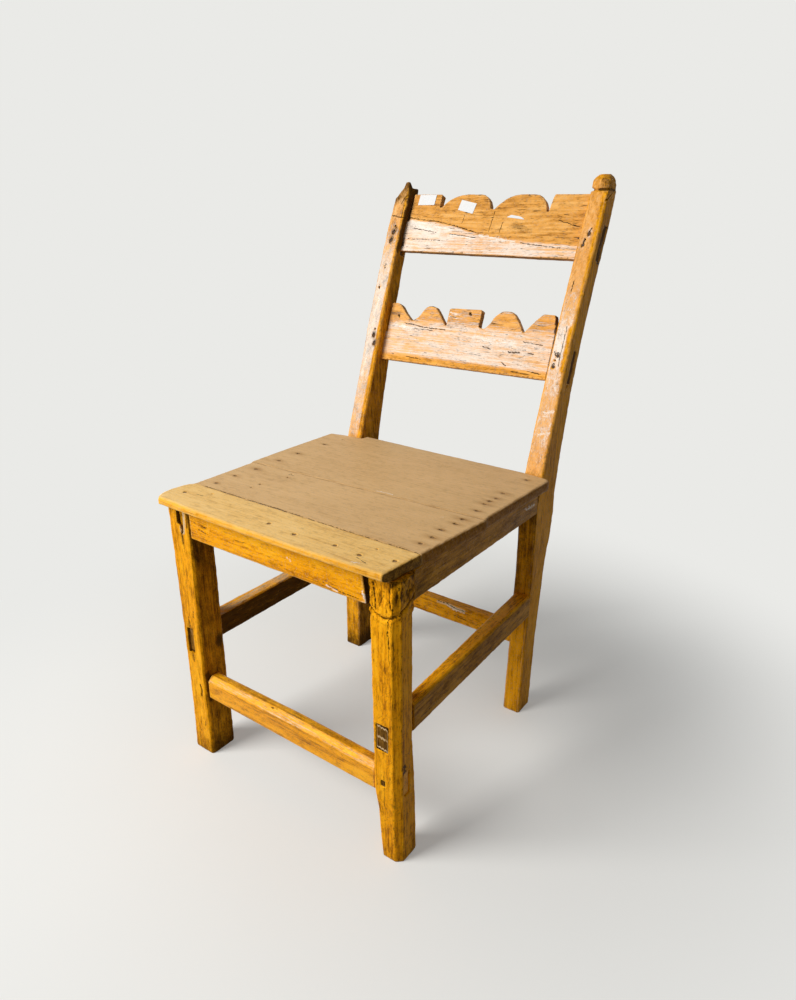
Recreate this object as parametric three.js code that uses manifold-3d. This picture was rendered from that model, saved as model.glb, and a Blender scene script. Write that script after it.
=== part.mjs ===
// A hand-made side chair of old pine: two front legs, two raked back posts, four aprons, four
// stretchers, two cut-out back rails and a seat of three nailed boards.
//
// Millimetres. +Z is up and the chair faces -Y. Left and right are those of a person who stands
// in front of the chair and looks at it. While the pieces are made, x is 0 on the centre line,
// y is 0 at the front faces of the front legs and z is 0 on the floor. At the end the whole
// chair is moved so that the origin is under the middle of its box.

import * as THREE from 'three';
import { mergeVertices } from 'three/addons/utils/BufferGeometryUtils.js';
import Module from 'manifold-3d';

const wasm = await Module();
wasm.setup();

// Overall sizes
const seatHeight = 450;
const backHeight = 901;
const frontWidth = 421;
const backWidth = 410;
const frameDepth = 388;

// Clearance that neighbours keep wherever they meet
const fit = 0.3;

// Seat boards
const seatThickness = 16;
const seatRounding = 4;
const seamGap = 0.9;
const seamFrontLeft = 58;
const seamFrontRight = 54;
const seamBackLeft = 183;
const seamBackRight = 196;
const noseOverhang = 22;
const noseOverhangLeft = 13;
const noseOverhangRight = 17;
const noseLip = 7;
const noseBevelBack = -2;
const sideOverhangLeft = 26;
const sideOverhangRight = 15;
const cornerSetbackRight = 23;

// Front legs
const legWidth = 43;
const legDepth = 43;
const legChamfer = 2.5;
const legWornChamfer = 9;
const legBackChamfer = 6;
const legBackWornChamfer = 11;
const leftFootForward = 5;
const shoulderHeight = 383;
const shoulderProud = 1.5;

// Back posts
const postWidth = 33;
const postFootDepth = 42;
const postKneeDepth = 67;
const postTopDepthRight = 36;
const postTopDepthLeft = 32;
const postChamfer = 3;
const kneeSet = 14;
const bendHeight = 200;
const lowerRake = 19;
const upperRake = 21.3;
const capHeight = 21;
const capGroove = 3.5;
const capShift = 2;
const grooveHeight = 4;

// Aprons under the seat
const apronHeight = 44;
const apronThickness = 22;
const apronChamfer = 1.5;
const frontApronSetback = 1;
const apronTenonHeight = 30;
const apronTenonThickness = 11;
const frontApronTenonLeft = 12;
const frontApronTenonRight = 20;
const sideApronTenonRight = 18;
const apronBackTenon = 18;
const backApronTenon = 12;
const shoulderGapTop = 6.5;
const shoulderGapBottom = 4;

// Stretchers: thickness, height and the height of the underside
const frontStretcher = { thickness: 24, height: 41, under: 106 };
const leftStretcher = { thickness: 25, height: 39, under: 199 };
const rightStretcher = { thickness: 28, height: 43, under: 196 };
const backStretcher = { thickness: 24, height: 34, under: 135 };
const stretcherChamfer = 3;
const stretcherWornEdge = 8;
const stretcherBackEdge = 5;
const stretcherTenonThickness = 11;
const rightStretcherTaper = 10;
const stretcherTenonShoulder = 2;
const sideStretcherTenon = 26;
const backStretcherTenon = 18;

// Plugs in the front faces of the front legs, and the peg of the front stretcher
const plugDepth = 11;
const leftPlug = { width: 13, height: 43, x: -192.5, z: 207.5 };
const rightPlug = { width: 19, height: 40, x: 185.5, z: 200 };
const pegWidth = 6;
const pegHeight = 9;
const pegLength = 36;
const pegX = 186;

// Back rails
const railThickness = 12;
const crestHeight = 105;
const crestRecess = 14;
const crestDrop = 124;
const crestTilt = 1;
const crestNotchDepth = 24;
const lowerRailHeight = 106;
const lowerRailRecess = 18;
const railGap = 82;
const lowerRailNotchDepth = 32;
const crestTenonHeight = 56;
const lowerTenonHeight = 52;
const mortiseSlack = 7;

// Nails
const nailHead = 2.6;
const nailHeadThickness = 1.2;
const nailShank = 1.3;
const seatNailLength = 38;
const backNailLength = 26;
const oldHoleRadius = 2;
const oldHoleDepth = 6;

// Blank paper labels on the crest rail
const labelThickness = 0.3;

// Levels that follow from the sizes above
const boardUnder = seatHeight - seatThickness;
const frameTop = boardUnder - fit;
const apronUnder = frameTop - apronHeight;
const frontHalf = frontWidth / 2;
const backHalf = backWidth / 2;
const leftApronOuter = -backHalf;
const rightApronOuter = backHalf;
const past = 5;
const crestUnder = backHeight - crestDrop;
const lowerRailUnder = crestUnder - railGap - lowerRailHeight;

// Colours and finishes
const woodColours = {
  varnish: { color: 0xc9821f, roughness: 0.42 },
  shadedVarnish: { color: 0x9c6420, roughness: 0.5 },
  scrubbed: { color: 0xd9a064, roughness: 0.6 },
  khaki: { color: 0xa98a55, roughness: 0.62 },
  honey: { color: 0xcfa050, roughness: 0.45 },
  splinter: { color: 0xb78d5a, roughness: 0.85 },
  iron: { color: 0x2b2320, roughness: 0.7, metalness: 0.6 },
  paper: { color: 0xf0efea, roughness: 0.8 },
};

const finishes = Object.fromEntries(
  Object.entries(woodColours).map(([name, look]) => [name, new THREE.MeshStandardMaterial(look)]),
);

const chair = new THREE.Group();

function addPiece(name, geometry, finish) {
  const mesh = new THREE.Mesh(geometry, finishes[finish]);
  mesh.name = name;
  chair.add(mesh);
  return mesh;
}

// Solids for joining and cutting

function toSolid(geometry) {
  const bare = geometry.clone();
  bare.deleteAttribute('normal');
  bare.deleteAttribute('uv');
  const merged = mergeVertices(bare, 1e-4);
  return new wasm.Manifold(new wasm.Mesh({
    numProp: 3,
    vertProperties: Float32Array.from(merged.attributes.position.array),
    triVerts: Uint32Array.from(merged.index.array),
  }));
}

function toGeometry(solid) {
  const mesh = solid.getMesh();
  const geometry = new THREE.BufferGeometry();
  geometry.setAttribute('position', new THREE.BufferAttribute(mesh.vertProperties, 3));
  geometry.setIndex(new THREE.BufferAttribute(mesh.triVerts, 1));
  geometry.computeVertexNormals();
  return geometry;
}

function cutAll(solid, cutters) {
  return cutters.reduce((left, cutter) => left.subtract(cutter), solid);
}

function box({ x, y, z }, grow = 0) {
  const size = [x, y, z].map(([low, high]) => high - low + 2 * grow);
  const geometry = new THREE.BoxGeometry(...size);
  geometry.translate((x[0] + x[1]) / 2, (y[0] + y[1]) / 2, (z[0] + z[1]) / 2);
  return toSolid(geometry);
}

// A straight-line reading of a list of [place, value] pairs
function along(points, at) {
  if (at <= points[0][0]) return points[0][1];
  for (let i = 1; i < points.length; i += 1) {
    const [start, from] = points[i - 1];
    const [end, to] = points[i];
    if (at <= end) return from + ((to - from) * (at - start)) / (end - start);
  }
  return points[points.length - 1][1];
}

// A bar with chamfered edges whose four faces follow the stations along its length. The keys of
// a station are its place on the long axis (at) and its extent on the two other axes. The cuts
// of the four edges are given in the order low-low, high-low, high-high and low-high, where the
// words are the ends of those two extents; a single number serves for all four. A station may
// have cuts of its own.
const crossAxes = { x: ['y', 'z'], y: ['z', 'x'], z: ['x', 'y'] };

function bar(axis, stations, cuts) {
  const [across, over] = crossAxes[axis];
  const inner = 0.5;
  const corners = [
    [-inner, -1], [inner, -1], [1, -inner], [1, inner],
    [inner, 1], [-inner, 1], [-1, inner], [-1, -inner],
  ];
  const section = new THREE.Shape(corners.map(([u, v]) => new THREE.Vector2(u, v)));
  const steps = stations.length - 1;
  const geometry = new THREE.ExtrudeGeometry(section, { depth: steps, steps, bevelEnabled: false });
  const position = geometry.attributes.position;
  const place = (value, [low, high], cut) => {
    if (Math.abs(value) === 1) return value < 0 ? low : high;
    return value < 0 ? low + cut : high - cut;
  };
  for (let i = 0; i < position.count; i += 1) {
    const u = position.getX(i);
    const v = position.getY(i);
    const station = stations[Math.round(position.getZ(i))];
    const edge = v < 0 ? Number(u > 0) : 3 - Number(u > 0);
    const edgeCuts = station.cuts ?? cuts;
    const cut = Array.isArray(edgeCuts) ? edgeCuts[edge] : edgeCuts;
    const point = {
      [across]: place(u, station[across], cut),
      [over]: place(v, station[over], cut),
      [axis]: station.at,
    };
    position.setXYZ(i, point.x, point.y, point.z);
  }
  return toSolid(geometry);
}

// The raked line that the front faces of both back posts follow
const kneeStart = seatHeight - 45;
const bendAt = seatHeight + bendHeight;
const slopeOf = (degrees) => Math.tan(THREE.MathUtils.degToRad(degrees));

function postFront(z) {
  const atSeat = frameDepth + kneeSet;
  if (z <= seatHeight) return along([[kneeStart, frameDepth], [seatHeight, atSeat]], z);
  const atBend = atSeat + bendHeight * slopeOf(lowerRake);
  if (z <= bendAt) return along([[seatHeight, atSeat], [bendAt, atBend]], z);
  return atBend + (z - bendAt) * slopeOf(upperRake);
}

// How deep a post is from front to back, at each height
function postDepth(z, topDepth) {
  return along([
    [0, postFootDepth],
    [seatHeight - 310, postFootDepth],
    [seatHeight - 160, postFootDepth + 7],
    [seatHeight - 110, postKneeDepth - 4],
    [seatHeight - 75, postKneeDepth],
    [seatHeight - 26, postKneeDepth - 1],
    [seatHeight, postKneeDepth - 7],
    [seatHeight + 50, postKneeDepth - 13],
    [seatHeight + 130, postKneeDepth - 20],
    [bendAt, topDepth + 7],
    [bendAt + 120, topDepth + 1],
    [backHeight, topDepth],
  ], z);
}

// The outer faces wander from a straight line, as the posts were cut by hand. Positive is
// outwards from the nominal width of the back.
const postWander = {
  left: [
    [0, 0], [seatHeight - 150, -2], [seatHeight, -5], [bendAt - 50, -5], [bendAt + 50, -2.5],
    [bendAt + 170, -2], [backHeight - 45, -5],
  ],
  right: [
    [0, -8], [seatHeight - 250, -3.5], [seatHeight - 150, 0], [seatHeight, 0],
    [seatHeight + 100, -1], [bendAt, 0], [bendAt + 90, 2], [backHeight - 90, 4.5],
    [backHeight, 4.5],
  ],
};
const postThickening = {
  left: [[0, 3], [seatHeight - 150, 3], [seatHeight, 0], [backHeight, -1]],
  right: [
    [0, -1], [seatHeight - 260, -2], [seatHeight, 0], [bendAt, -2.5], [backHeight - 90, -1],
    [backHeight, -3],
  ],
};
const sideSign = { left: -1, right: 1 };

function postOuter(side, z) {
  return sideSign[side] * (backHalf + along(postWander[side], z));
}

function postInner(side, z) {
  const width = postWidth + along(postThickening[side], z);
  return postOuter(side, z) - sideSign[side] * width;
}

function postStation(side, z, grow = 0) {
  const topDepth = side === 'left' ? postTopDepthLeft : postTopDepthRight;
  const faces = [postOuter(side, z), postInner(side, z)].sort((a, b) => a - b);
  const front = postFront(z);
  return {
    at: z,
    x: [faces[0] - grow, faces[1] + grow],
    y: [front - grow, front + postDepth(z, topDepth) + grow],
  };
}

const postHeights = [
  0, seatHeight - 310, seatHeight - 160, seatHeight - 110, seatHeight - 75, kneeStart,
  seatHeight, seatHeight + 50, seatHeight + 130, bendAt, bendAt + 90, bendAt + 170,
];

// The outer and inner faces of a front leg, as shifts outwards from the nominal faces
const legShapes = {
  left: {
    outer: [[0, -3], [60, -5], [150, -3.5], [240, -1.5], [340, 2.5], [frameTop, 5.5]],
    inner: [[0, -3], [80, -2], [125, 0.5], [frameTop, 0.5]],
  },
  right: {
    outer: [[0, 5], [100, 2], [182, 0.5], [frameTop, -0.5]],
    inner: [[0, 15.5], [80, 9.5], [112, 3], [190, 2.5], [290, 1], [375, -0.5], [frameTop, -1.5]],
  },
};
const legHeights = {
  left: [0, 60, 125, 150, 240, 340, frameTop],
  right: [0, 80, 112, 190, 290, shoulderHeight - 3, shoulderHeight + 2, frameTop],
};
const legCuts = {
  left: [legChamfer, legChamfer * 1.5, legChamfer, legChamfer],
  right: [legChamfer, legWornChamfer, legBackChamfer, legChamfer],
};

function legOuter(side, z) {
  return sideSign[side] * (frontHalf + along(legShapes[side].outer, z));
}

function legInner(side, z) {
  return sideSign[side] * (frontHalf - legWidth + along(legShapes[side].inner, z));
}

function legStation(side, z) {
  const proud = side === 'right' && z > shoulderHeight ? shoulderProud : 0;
  const faces = [legOuter(side, z), legInner(side, z)].sort((a, b) => a - b);
  const forward = side === 'left' ? along([[0, leftFootForward], [shoulderHeight, 0]], z) : 0;
  const cuts = [...legCuts[side]];
  if (side === 'right' && z > 150 && z < shoulderHeight) cuts[2] = legBackWornChamfer;
  return {
    at: z,
    x: [faces[0] - proud, faces[1] + proud],
    y: [-proud - forward, legDepth],
    cuts,
  };
}

// Tenons: each is a box that belongs to its rail, and the same box grown by the fit cuts the
// mortise. A tenon starts well inside its rail so that the two join.

function tenonHeights(under, height) {
  return [under + stretcherTenonShoulder, under + height - stretcherTenonShoulder];
}

const frontStretcherLevel = tenonHeights(frontStretcher.under, frontStretcher.height);
const frontTenonFront = 14;
const frontStretcherMiddle = (frontStretcherLevel[0] + frontStretcherLevel[1]) / 2;
const frontStretcherTenons = {
  left: {
    x: [legOuter('left', frontStretcherMiddle) + 1.5, legInner('left', frontStretcherMiddle) + past],
    y: [frontTenonFront, frontTenonFront + stretcherTenonThickness],
    z: frontStretcherLevel,
  },
  right: {
    x: [legInner('right', frontStretcherMiddle) - past,
      legOuter('right', frontStretcherMiddle) - 1.5],
    y: [frontTenonFront, frontTenonFront + stretcherTenonThickness],
    z: frontStretcherLevel,
  },
};

// The side stretchers stand a little in from the outer faces of the legs. Their ends are given
// as the faces [low x, high x] at the front leg and at the back post.
const sideStretchers = {
  left: {
    level: tenonHeights(leftStretcher.under, leftStretcher.height),
    frontFaces: [-backHalf + 5, -backHalf + 5 + leftStretcher.thickness],
    backFaces: [-backHalf + 5, -backHalf + 5 + leftStretcher.thickness],
    tenonX: [-backHalf + 11, -backHalf + 11 + stretcherTenonThickness],
    size: leftStretcher,
    dip: 1,
  },
  right: {
    level: tenonHeights(rightStretcher.under + 5, rightStretcher.height - 7),
    frontFaces: [backHalf + 1 - rightStretcher.thickness + rightStretcherTaper, backHalf + 1],
    backFaces: [backHalf - 1 - rightStretcher.thickness, backHalf - 1],
    tenonX: [backHalf - 5.5 - stretcherTenonThickness, backHalf - 5.5],
    size: rightStretcher,
    dip: 4,
  },
};

function sideStretcherTenonBoxes(side) {
  const { level, tenonX } = sideStretchers[side];
  return {
    front: { x: tenonX, y: [legDepth - sideStretcherTenon, legDepth + past], z: level },
    back: { x: tenonX, y: [frameDepth - past, frameDepth + sideStretcherTenon], z: level },
  };
}

const backStretcherFront = frameDepth + 4;
const backStretcherLevel = tenonHeights(backStretcher.under, backStretcher.height);
const backStretcherMiddle = (backStretcherLevel[0] + backStretcherLevel[1]) / 2;

function innerTenon(side, faceX, length, y, z) {
  const tip = faceX + sideSign[side] * length;
  const root = faceX - sideSign[side] * past;
  return { x: [Math.min(tip, root), Math.max(tip, root)], y, z };
}

function backStretcherTenonBox(side) {
  const y = [backStretcherFront + 6, backStretcherFront + 6 + stretcherTenonThickness];
  const face = postInner(side, backStretcherMiddle);
  return innerTenon(side, face, backStretcherTenon, y, backStretcherLevel);
}

const apronTenonLevel = [frameTop - 7 - apronTenonHeight, frameTop - 7];
const apronMiddle = frameTop - apronHeight / 2;
const frontApronTenonY = [8, 8 + apronTenonThickness];
const frontApronTenons = {
  left: innerTenon('left', legInner('left', apronMiddle), frontApronTenonLeft,
    frontApronTenonY, apronTenonLevel),
  right: innerTenon('right', legInner('right', apronMiddle), frontApronTenonRight,
    frontApronTenonY, apronTenonLevel),
};

// The left apron's front tenon runs right through its leg, and shows in a broken slot
const sideApronTenonX = {
  left: [leftApronOuter + 11, leftApronOuter + 11 + apronTenonThickness],
  right: [rightApronOuter - 15, rightApronOuter - 15 + apronTenonThickness],
};
const brokenTenonStart = 4;

function sideApronTenonBoxes(side) {
  const x = sideApronTenonX[side];
  const start = side === 'left' ? brokenTenonStart : legDepth - sideApronTenonRight;
  return {
    front: { x, y: [start, legDepth + past], z: apronTenonLevel },
    back: { x, y: [frameDepth - past, frameDepth + apronBackTenon], z: apronTenonLevel },
  };
}

const backApronFront = frameDepth + 8;

function backApronTenonBox(side) {
  const y = [backApronFront + 5, backApronFront + 5 + apronTenonThickness];
  return innerTenon(side, postInner(side, apronMiddle), backApronTenon, y, apronTenonLevel);
}

// Back rails: each is drawn flat, then leaned back and set into the posts

const crestSpot = {
  under: crestUnder, height: crestHeight, recess: crestRecess, tilt: crestTilt,
  tenonHeight: crestTenonHeight,
};
const lowerSpot = {
  under: lowerRailUnder, height: lowerRailHeight, recess: lowerRailRecess, tilt: 0,
  tenonHeight: lowerTenonHeight,
};

function railLean(spot) {
  const top = spot.under + spot.height * Math.cos(THREE.MathUtils.degToRad(upperRake));
  return Math.atan2(postFront(top) - postFront(spot.under), top - spot.under);
}

// From the flat drawing (x across, y up the rail, z out of its front) to the chair
function railMatrix(spot) {
  const stand = new THREE.Matrix4().makeRotationX(Math.PI / 2 - railLean(spot));
  const tilt = new THREE.Matrix4().makeRotationZ(-THREE.MathUtils.degToRad(spot.tilt));
  const move = new THREE.Matrix4().makeTranslation(
    0, postFront(spot.under) + spot.recess, spot.under,
  );
  return move.multiply(stand).multiply(tilt);
}

function railEnds(spot) {
  const levels = [spot.under, spot.under + spot.height / 2, spot.under + spot.height];
  return {
    left: Math.max(...levels.map((z) => postInner('left', z))) + 2 * fit,
    right: Math.min(...levels.map((z) => postInner('right', z))) - 2 * fit,
  };
}

function flatPlate(shape, thickness, curveSegments = 5) {
  const geometry = new THREE.ExtrudeGeometry(shape, {
    depth: thickness, bevelEnabled: false, curveSegments,
  });
  geometry.translate(0, 0, -thickness);
  return geometry;
}

// The crest has an ear at each end and two arches between, with a notch beside each arch
function crestShape() {
  const { left, right } = railEnds(crestSpot);
  const top = crestHeight;
  const dip = top - crestNotchDepth;
  const shape = new THREE.Shape();
  shape.moveTo(left, 0);
  shape.lineTo(right, 0);
  shape.lineTo(right, top);
  shape.lineTo(114, top);
  shape.quadraticCurveTo(111, top - 1, 108.5, dip - 5);
  shape.lineTo(105, dip - 5);
  shape.quadraticCurveTo(100, top - 1, 78, top);
  shape.lineTo(52, top);
  shape.quadraticCurveTo(26, top - 1, 5.5, dip - 2);
  shape.lineTo(-2, dip);
  shape.quadraticCurveTo(-6, top - 1, -25, top);
  shape.lineTo(-52, top);
  shape.quadraticCurveTo(-84, top - 1, -102, dip + 1);
  shape.lineTo(-107, dip);
  shape.lineTo(-106, top - 2);
  shape.lineTo(-108, top);
  shape.lineTo(left, top);
  shape.closePath();
  return shape;
}

// The lower rail has two rounded humps and a square block between two half humps
function lowerRailShape() {
  const { left, right } = railEnds(lowerSpot);
  const top = lowerRailHeight;
  const dip = top - lowerRailNotchDepth;
  const shape = new THREE.Shape();
  shape.moveTo(left, 0);
  shape.lineTo(right, 0);
  shape.lineTo(right, top - 42);
  shape.lineTo(161.5, top - 1);
  shape.lineTo(160, top);
  shape.lineTo(141, top);
  shape.quadraticCurveTo(134, top - 4, 112, dip);
  shape.lineTo(109, dip + 0.5);
  shape.quadraticCurveTo(94, top - 8, 86, top - 2);
  shape.quadraticCurveTo(83, top, 77, top);
  shape.lineTo(66, top - 0.5);
  shape.quadraticCurveTo(58, top - 4, 50, top - 14);
  shape.quadraticCurveTo(44, dip + 4, 35, dip - 1);
  shape.lineTo(25, dip + 1);
  shape.lineTo(25.5, top - 3);
  shape.lineTo(23, top - 1);
  shape.lineTo(-36, top - 2);
  shape.lineTo(-40, top - 4);
  shape.lineTo(-40.5, dip - 1);
  shape.lineTo(-43, dip - 1);
  shape.quadraticCurveTo(-56, top - 16, -69, top - 3);
  shape.quadraticCurveTo(-72, top - 1, -78, top - 1);
  shape.lineTo(-84, top - 1.5);
  shape.quadraticCurveTo(-92, top - 4, -99, top - 18);
  shape.quadraticCurveTo(-104, dip + 6, -116, dip + 2);
  shape.quadraticCurveTo(-133, top - 18, -143, top - 6);
  shape.quadraticCurveTo(-149, top, -155, top);
  shape.lineTo(left, top);
  shape.closePath();
  return shape;
}

// A rail's tenon is as thick as the rail and starts at its lower edge
function railTenon(spot, side, grow = 0, slackBelow = 0) {
  const ends = railEnds(spot);
  const middle = spot.under + spot.tenonHeight / 2;
  const tip = grow > 0
    ? postOuter(side, middle) + sideSign[side] * 3 * past
    : postOuter(side, middle) - sideSign[side] * 1.2;
  const root = ends[side] - sideSign[side] * (grow > 0 ? 0 : past);
  const low = Math.min(tip, root);
  const high = Math.max(tip, root);
  const shape = new THREE.Shape();
  shape.moveTo(low, -grow - slackBelow);
  shape.lineTo(high, -grow - slackBelow);
  shape.lineTo(high, spot.tenonHeight + grow);
  shape.lineTo(low, spot.tenonHeight + grow);
  shape.closePath();
  const plate = flatPlate(shape, railThickness + 2 * grow);
  plate.translate(0, 0, grow);
  plate.applyMatrix4(railMatrix(spot));
  return toSolid(plate);
}

// Nails: a flat head with a straight shank and a short point, head up at the origin
function nailGeometry(length, grow = 0) {
  const head = nailHead + grow;
  const shank = nailShank + grow;
  const under = -nailHeadThickness - grow;
  const profile = [
    [0, -length - grow], [shank, -length + 4], [shank, under], [head, under],
    [head, grow > 0 ? past : -0.2], [0, grow > 0 ? past : 0],
  ];
  const geometry = new THREE.LatheGeometry(profile.map(([r, y]) => new THREE.Vector2(r, y)), 8);
  geometry.rotateX(Math.PI / 2);
  return geometry;
}

// An old nail hole left open in a face that looks along +Z in its own frame
function oldHole(matrix, radius = oldHoleRadius, depth = oldHoleDepth) {
  const geometry = new THREE.CylinderGeometry(radius, radius * 0.7, depth + past, 6);
  geometry.rotateX(Math.PI / 2);
  geometry.translate(0, 0, (past - depth) / 2);
  geometry.applyMatrix4(matrix);
  return toSolid(geometry);
}

// Places on the seat's top and on the front faces of the posts
const onSeat = (x, y) => new THREE.Matrix4().makeTranslation(x, y, seatHeight - 0.4);

function onPost(x, z) {
  const step = 10;
  const lean = Math.atan2(postFront(z + step) - postFront(z - step), 2 * step);
  const turn = new THREE.Matrix4().makeRotationX(Math.PI / 2 - lean);
  const move = new THREE.Matrix4().makeTranslation(x, postFront(z) + 0.8, z);
  return move.multiply(turn);
}

// Rows of nails hold the boards to the aprons under them, and the legs at the front corners
const rightNailRow = rightApronOuter - 14;
const leftNailRow = leftApronOuter + 12;
const frontNailRow = frontApronSetback + 8;
const lastNailRow = frameDepth - 16;
const seatNails = {
  front: [
    [-200, 23], [-12, frontNailRow + 4], [40, frontNailRow - 2], [105, frontNailRow + 3],
    [147, frontNailRow], [192, 21],
  ],
  middle: [
    [rightNailRow - 2, seamFrontRight + 26], [rightNailRow, seamFrontRight + 50],
    [rightNailRow - 4, seamFrontRight + 77], [rightNailRow + 1, seamFrontRight + 105],
    [rightNailRow + 1, seamBackRight - 18], [leftNailRow, seamFrontLeft + 20],
    [leftNailRow - 2, seamFrontLeft + 60], [leftNailRow + 1, seamBackLeft - 23],
  ],
  back: [
    [rightNailRow + 1, seamBackRight + 20], [rightNailRow - 3, seamBackRight + 49],
    [rightNailRow - 2, seamBackRight + 62], [rightNailRow, seamBackRight + 78],
    [rightNailRow - 2, seamBackRight + 103], [rightNailRow, lastNailRow],
    [leftNailRow, seamBackLeft + 31], [leftNailRow - 1, seamBackLeft + 79],
    [leftNailRow + 1, frameDepth - 58],
  ],
};
const seatOldHoles = {
  front: [[-161, 42], [154, 35]],
  middle: [
    [-135, seamFrontLeft + 38], [-134, seamFrontLeft + 56], [-121, seamBackLeft - 22],
    [-127, seamBackLeft - 7],
  ],
  back: [[leftNailRow + 7, lastNailRow]],
};

// Pairs of nails pin each back rail's tenon through the front of its post
const railNails = {
  crest_nail_left_upper: [-backHalf + 19, crestUnder + 35],
  crest_nail_left_lower: [-backHalf + 16, crestUnder + 20],
  crest_nail_right_upper: [backHalf - 12, crestUnder + 36],
  crest_nail_right_lower: [backHalf - 18, crestUnder + 19],
  lower_nail_left_upper: [-backHalf + 23, lowerRailUnder + 42],
  lower_nail_left_lower: [-backHalf + 27, lowerRailUnder + 28],
  lower_nail_right_upper: [backHalf - 18, lowerRailUnder + 42],
  lower_nail_right_lower: [backHalf - 22, lowerRailUnder + 25],
};
const postOldHoles = {
  left: [
    [-backHalf + 20, crestUnder + 46], [-backHalf + 14, crestUnder - 24],
    [-backHalf + 12, crestUnder - 61], [-backHalf + 23, lowerRailUnder + 54],
  ],
  right: [[backHalf - 16, crestUnder + 27], [backHalf - 21, lowerRailUnder + 35]],
};

function placedNail(matrix, length, grow = 0) {
  const geometry = nailGeometry(length, grow);
  geometry.applyMatrix4(matrix);
  return geometry;
}

const seatNailHoles = (board) => seatNails[board].map(
  ([x, y]) => toSolid(placedNail(onSeat(x, y), seatNailLength, fit)),
);
const allSeatNailHoles = Object.keys(seatNails).flatMap(seatNailHoles);
const railNailHoles = Object.values(railNails).map(
  ([x, z]) => toSolid(placedNail(onPost(x, z), backNailLength, fit)),
);

// Front legs

function makeFrontLeg(side) {
  const stations = legHeights[side].map((z) => legStation(side, z));
  const stretcherTenon = frontStretcherTenons[side];
  const through = { ...stretcherTenon, x: [...stretcherTenon.x] };
  const outerEnd = side === 'left' ? 0 : 1;
  through.x[outerEnd] += sideSign[side] * 3 * past;
  const plug = side === 'left' ? leftPlug : rightPlug;
  const cutters = [
    box(through, fit),
    box(sideStretcherTenonBoxes(side).front, fit),
    box(frontApronTenons[side], fit),
    box(sideApronTenonBoxes(side).front, fit),
    box(plugBox(plug, -past), fit),
    ...allSeatNailHoles,
  ];
  if (side === 'left') cutters.push(brokenSlot());
  if (side === 'right') cutters.push(box(pegBox(-past), fit));
  return cutAll(bar('z', stations), cutters);
}

function plugBox({ width, height, x, z }, front) {
  return {
    x: [x - width / 2, x + width / 2],
    y: [front, plugDepth],
    z: [z - height / 2, z + height / 2],
  };
}

function pegBox(front) {
  return {
    x: [pegX - pegWidth / 2, pegX + pegWidth / 2],
    y: [front, pegLength],
    z: [frontStretcherMiddle - pegHeight / 2, frontStretcherMiddle + pegHeight / 2],
  };
}

// The lip of the left leg has broken out around the tenon, up to the leg's top
function brokenSlot() {
  const [low, high] = sideApronTenonX.left;
  const shape = new THREE.Shape();
  shape.moveTo(low - 1.5, frameTop + past);
  shape.lineTo(low - 1, frameTop - 22);
  shape.lineTo(low + 4, frameTop - 29);
  shape.lineTo(low + 7, frameTop - 41);
  shape.lineTo(high - 1, frameTop - 36);
  shape.lineTo(high + 1, frameTop - 15);
  shape.lineTo(high + 0.5, frameTop + past);
  shape.closePath();
  const geometry = new THREE.ExtrudeGeometry(shape, { depth: 8 + past, bevelEnabled: false });
  geometry.rotateX(Math.PI / 2);
  geometry.translate(0, 8, 0);
  return toSolid(geometry);
}

addPiece('front_left_leg', toGeometry(makeFrontLeg('left')), 'varnish');
addPiece('front_right_leg', toGeometry(makeFrontLeg('right')), 'varnish');

// Back posts

function postBody(side, grow = 0) {
  const neck = backHeight - capHeight - grooveHeight;
  const top = side === 'left' ? neck - 4 : neck;
  const heights = [...postHeights.filter((z) => z < top), top];
  const stations = heights.map((z) => postStation(side, z, grow));
  return bar('z', stations, postChamfer);
}

// The right post ends in a square cap above a sawn groove
function rightCap() {
  const neck = backHeight - capHeight - grooveHeight;
  const groove = postStation('right', neck - 1, -capGroove);
  const grooveTop = postStation('right', neck + grooveHeight, -capGroove);
  const necking = bar('z', [groove, grooveTop], postChamfer);
  const cap = [
    [neck + grooveHeight - 0.5, -0.5], [backHeight - 9, 0], [backHeight - 4, -3], [backHeight, -7],
  ].map(([z, grow]) => {
    const { at, x, y } = postStation('right', z, grow);
    return { at, x: [x[0] - capShift, x[1] - capShift], y: [y[0], y[1] - capShift * 2] };
  });
  return necking.add(bar('z', cap, postChamfer * 1.8));
}

// The left post is split and worn away at its top: a spike in front and a low lobe behind
function leftTop() {
  const neck = backHeight - capHeight - grooveHeight - 5;
  const low = postStation('left', neck);
  const high = postStation('left', backHeight - 1);
  const depth = low.y[1] - low.y[0];
  const spike = bar('z', [
    { ...low, y: [low.y[0] + 1, low.y[0] + depth * 0.55] },
    {
      at: backHeight - 12,
      x: [high.x[0] + 11, high.x[1] - 6],
      y: [high.y[0] - 1, high.y[0] + depth * 0.4],
    },
    {
      at: backHeight - 1,
      x: [high.x[0] + 14, high.x[1] - 9],
      y: [high.y[0] + 3, high.y[0] + depth * 0.3],
    },
  ], 2.5);
  const lobe = bar('z', [
    { ...low, y: [low.y[0] + depth * 0.4, low.y[1] - 1] },
    {
      at: backHeight - 13,
      x: [high.x[0] + 8, high.x[1] - 1],
      y: [low.y[0] + depth * 0.5 + 2, high.y[1] - 6],
    },
  ], 3);
  return spike.add(lobe);
}

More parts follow.
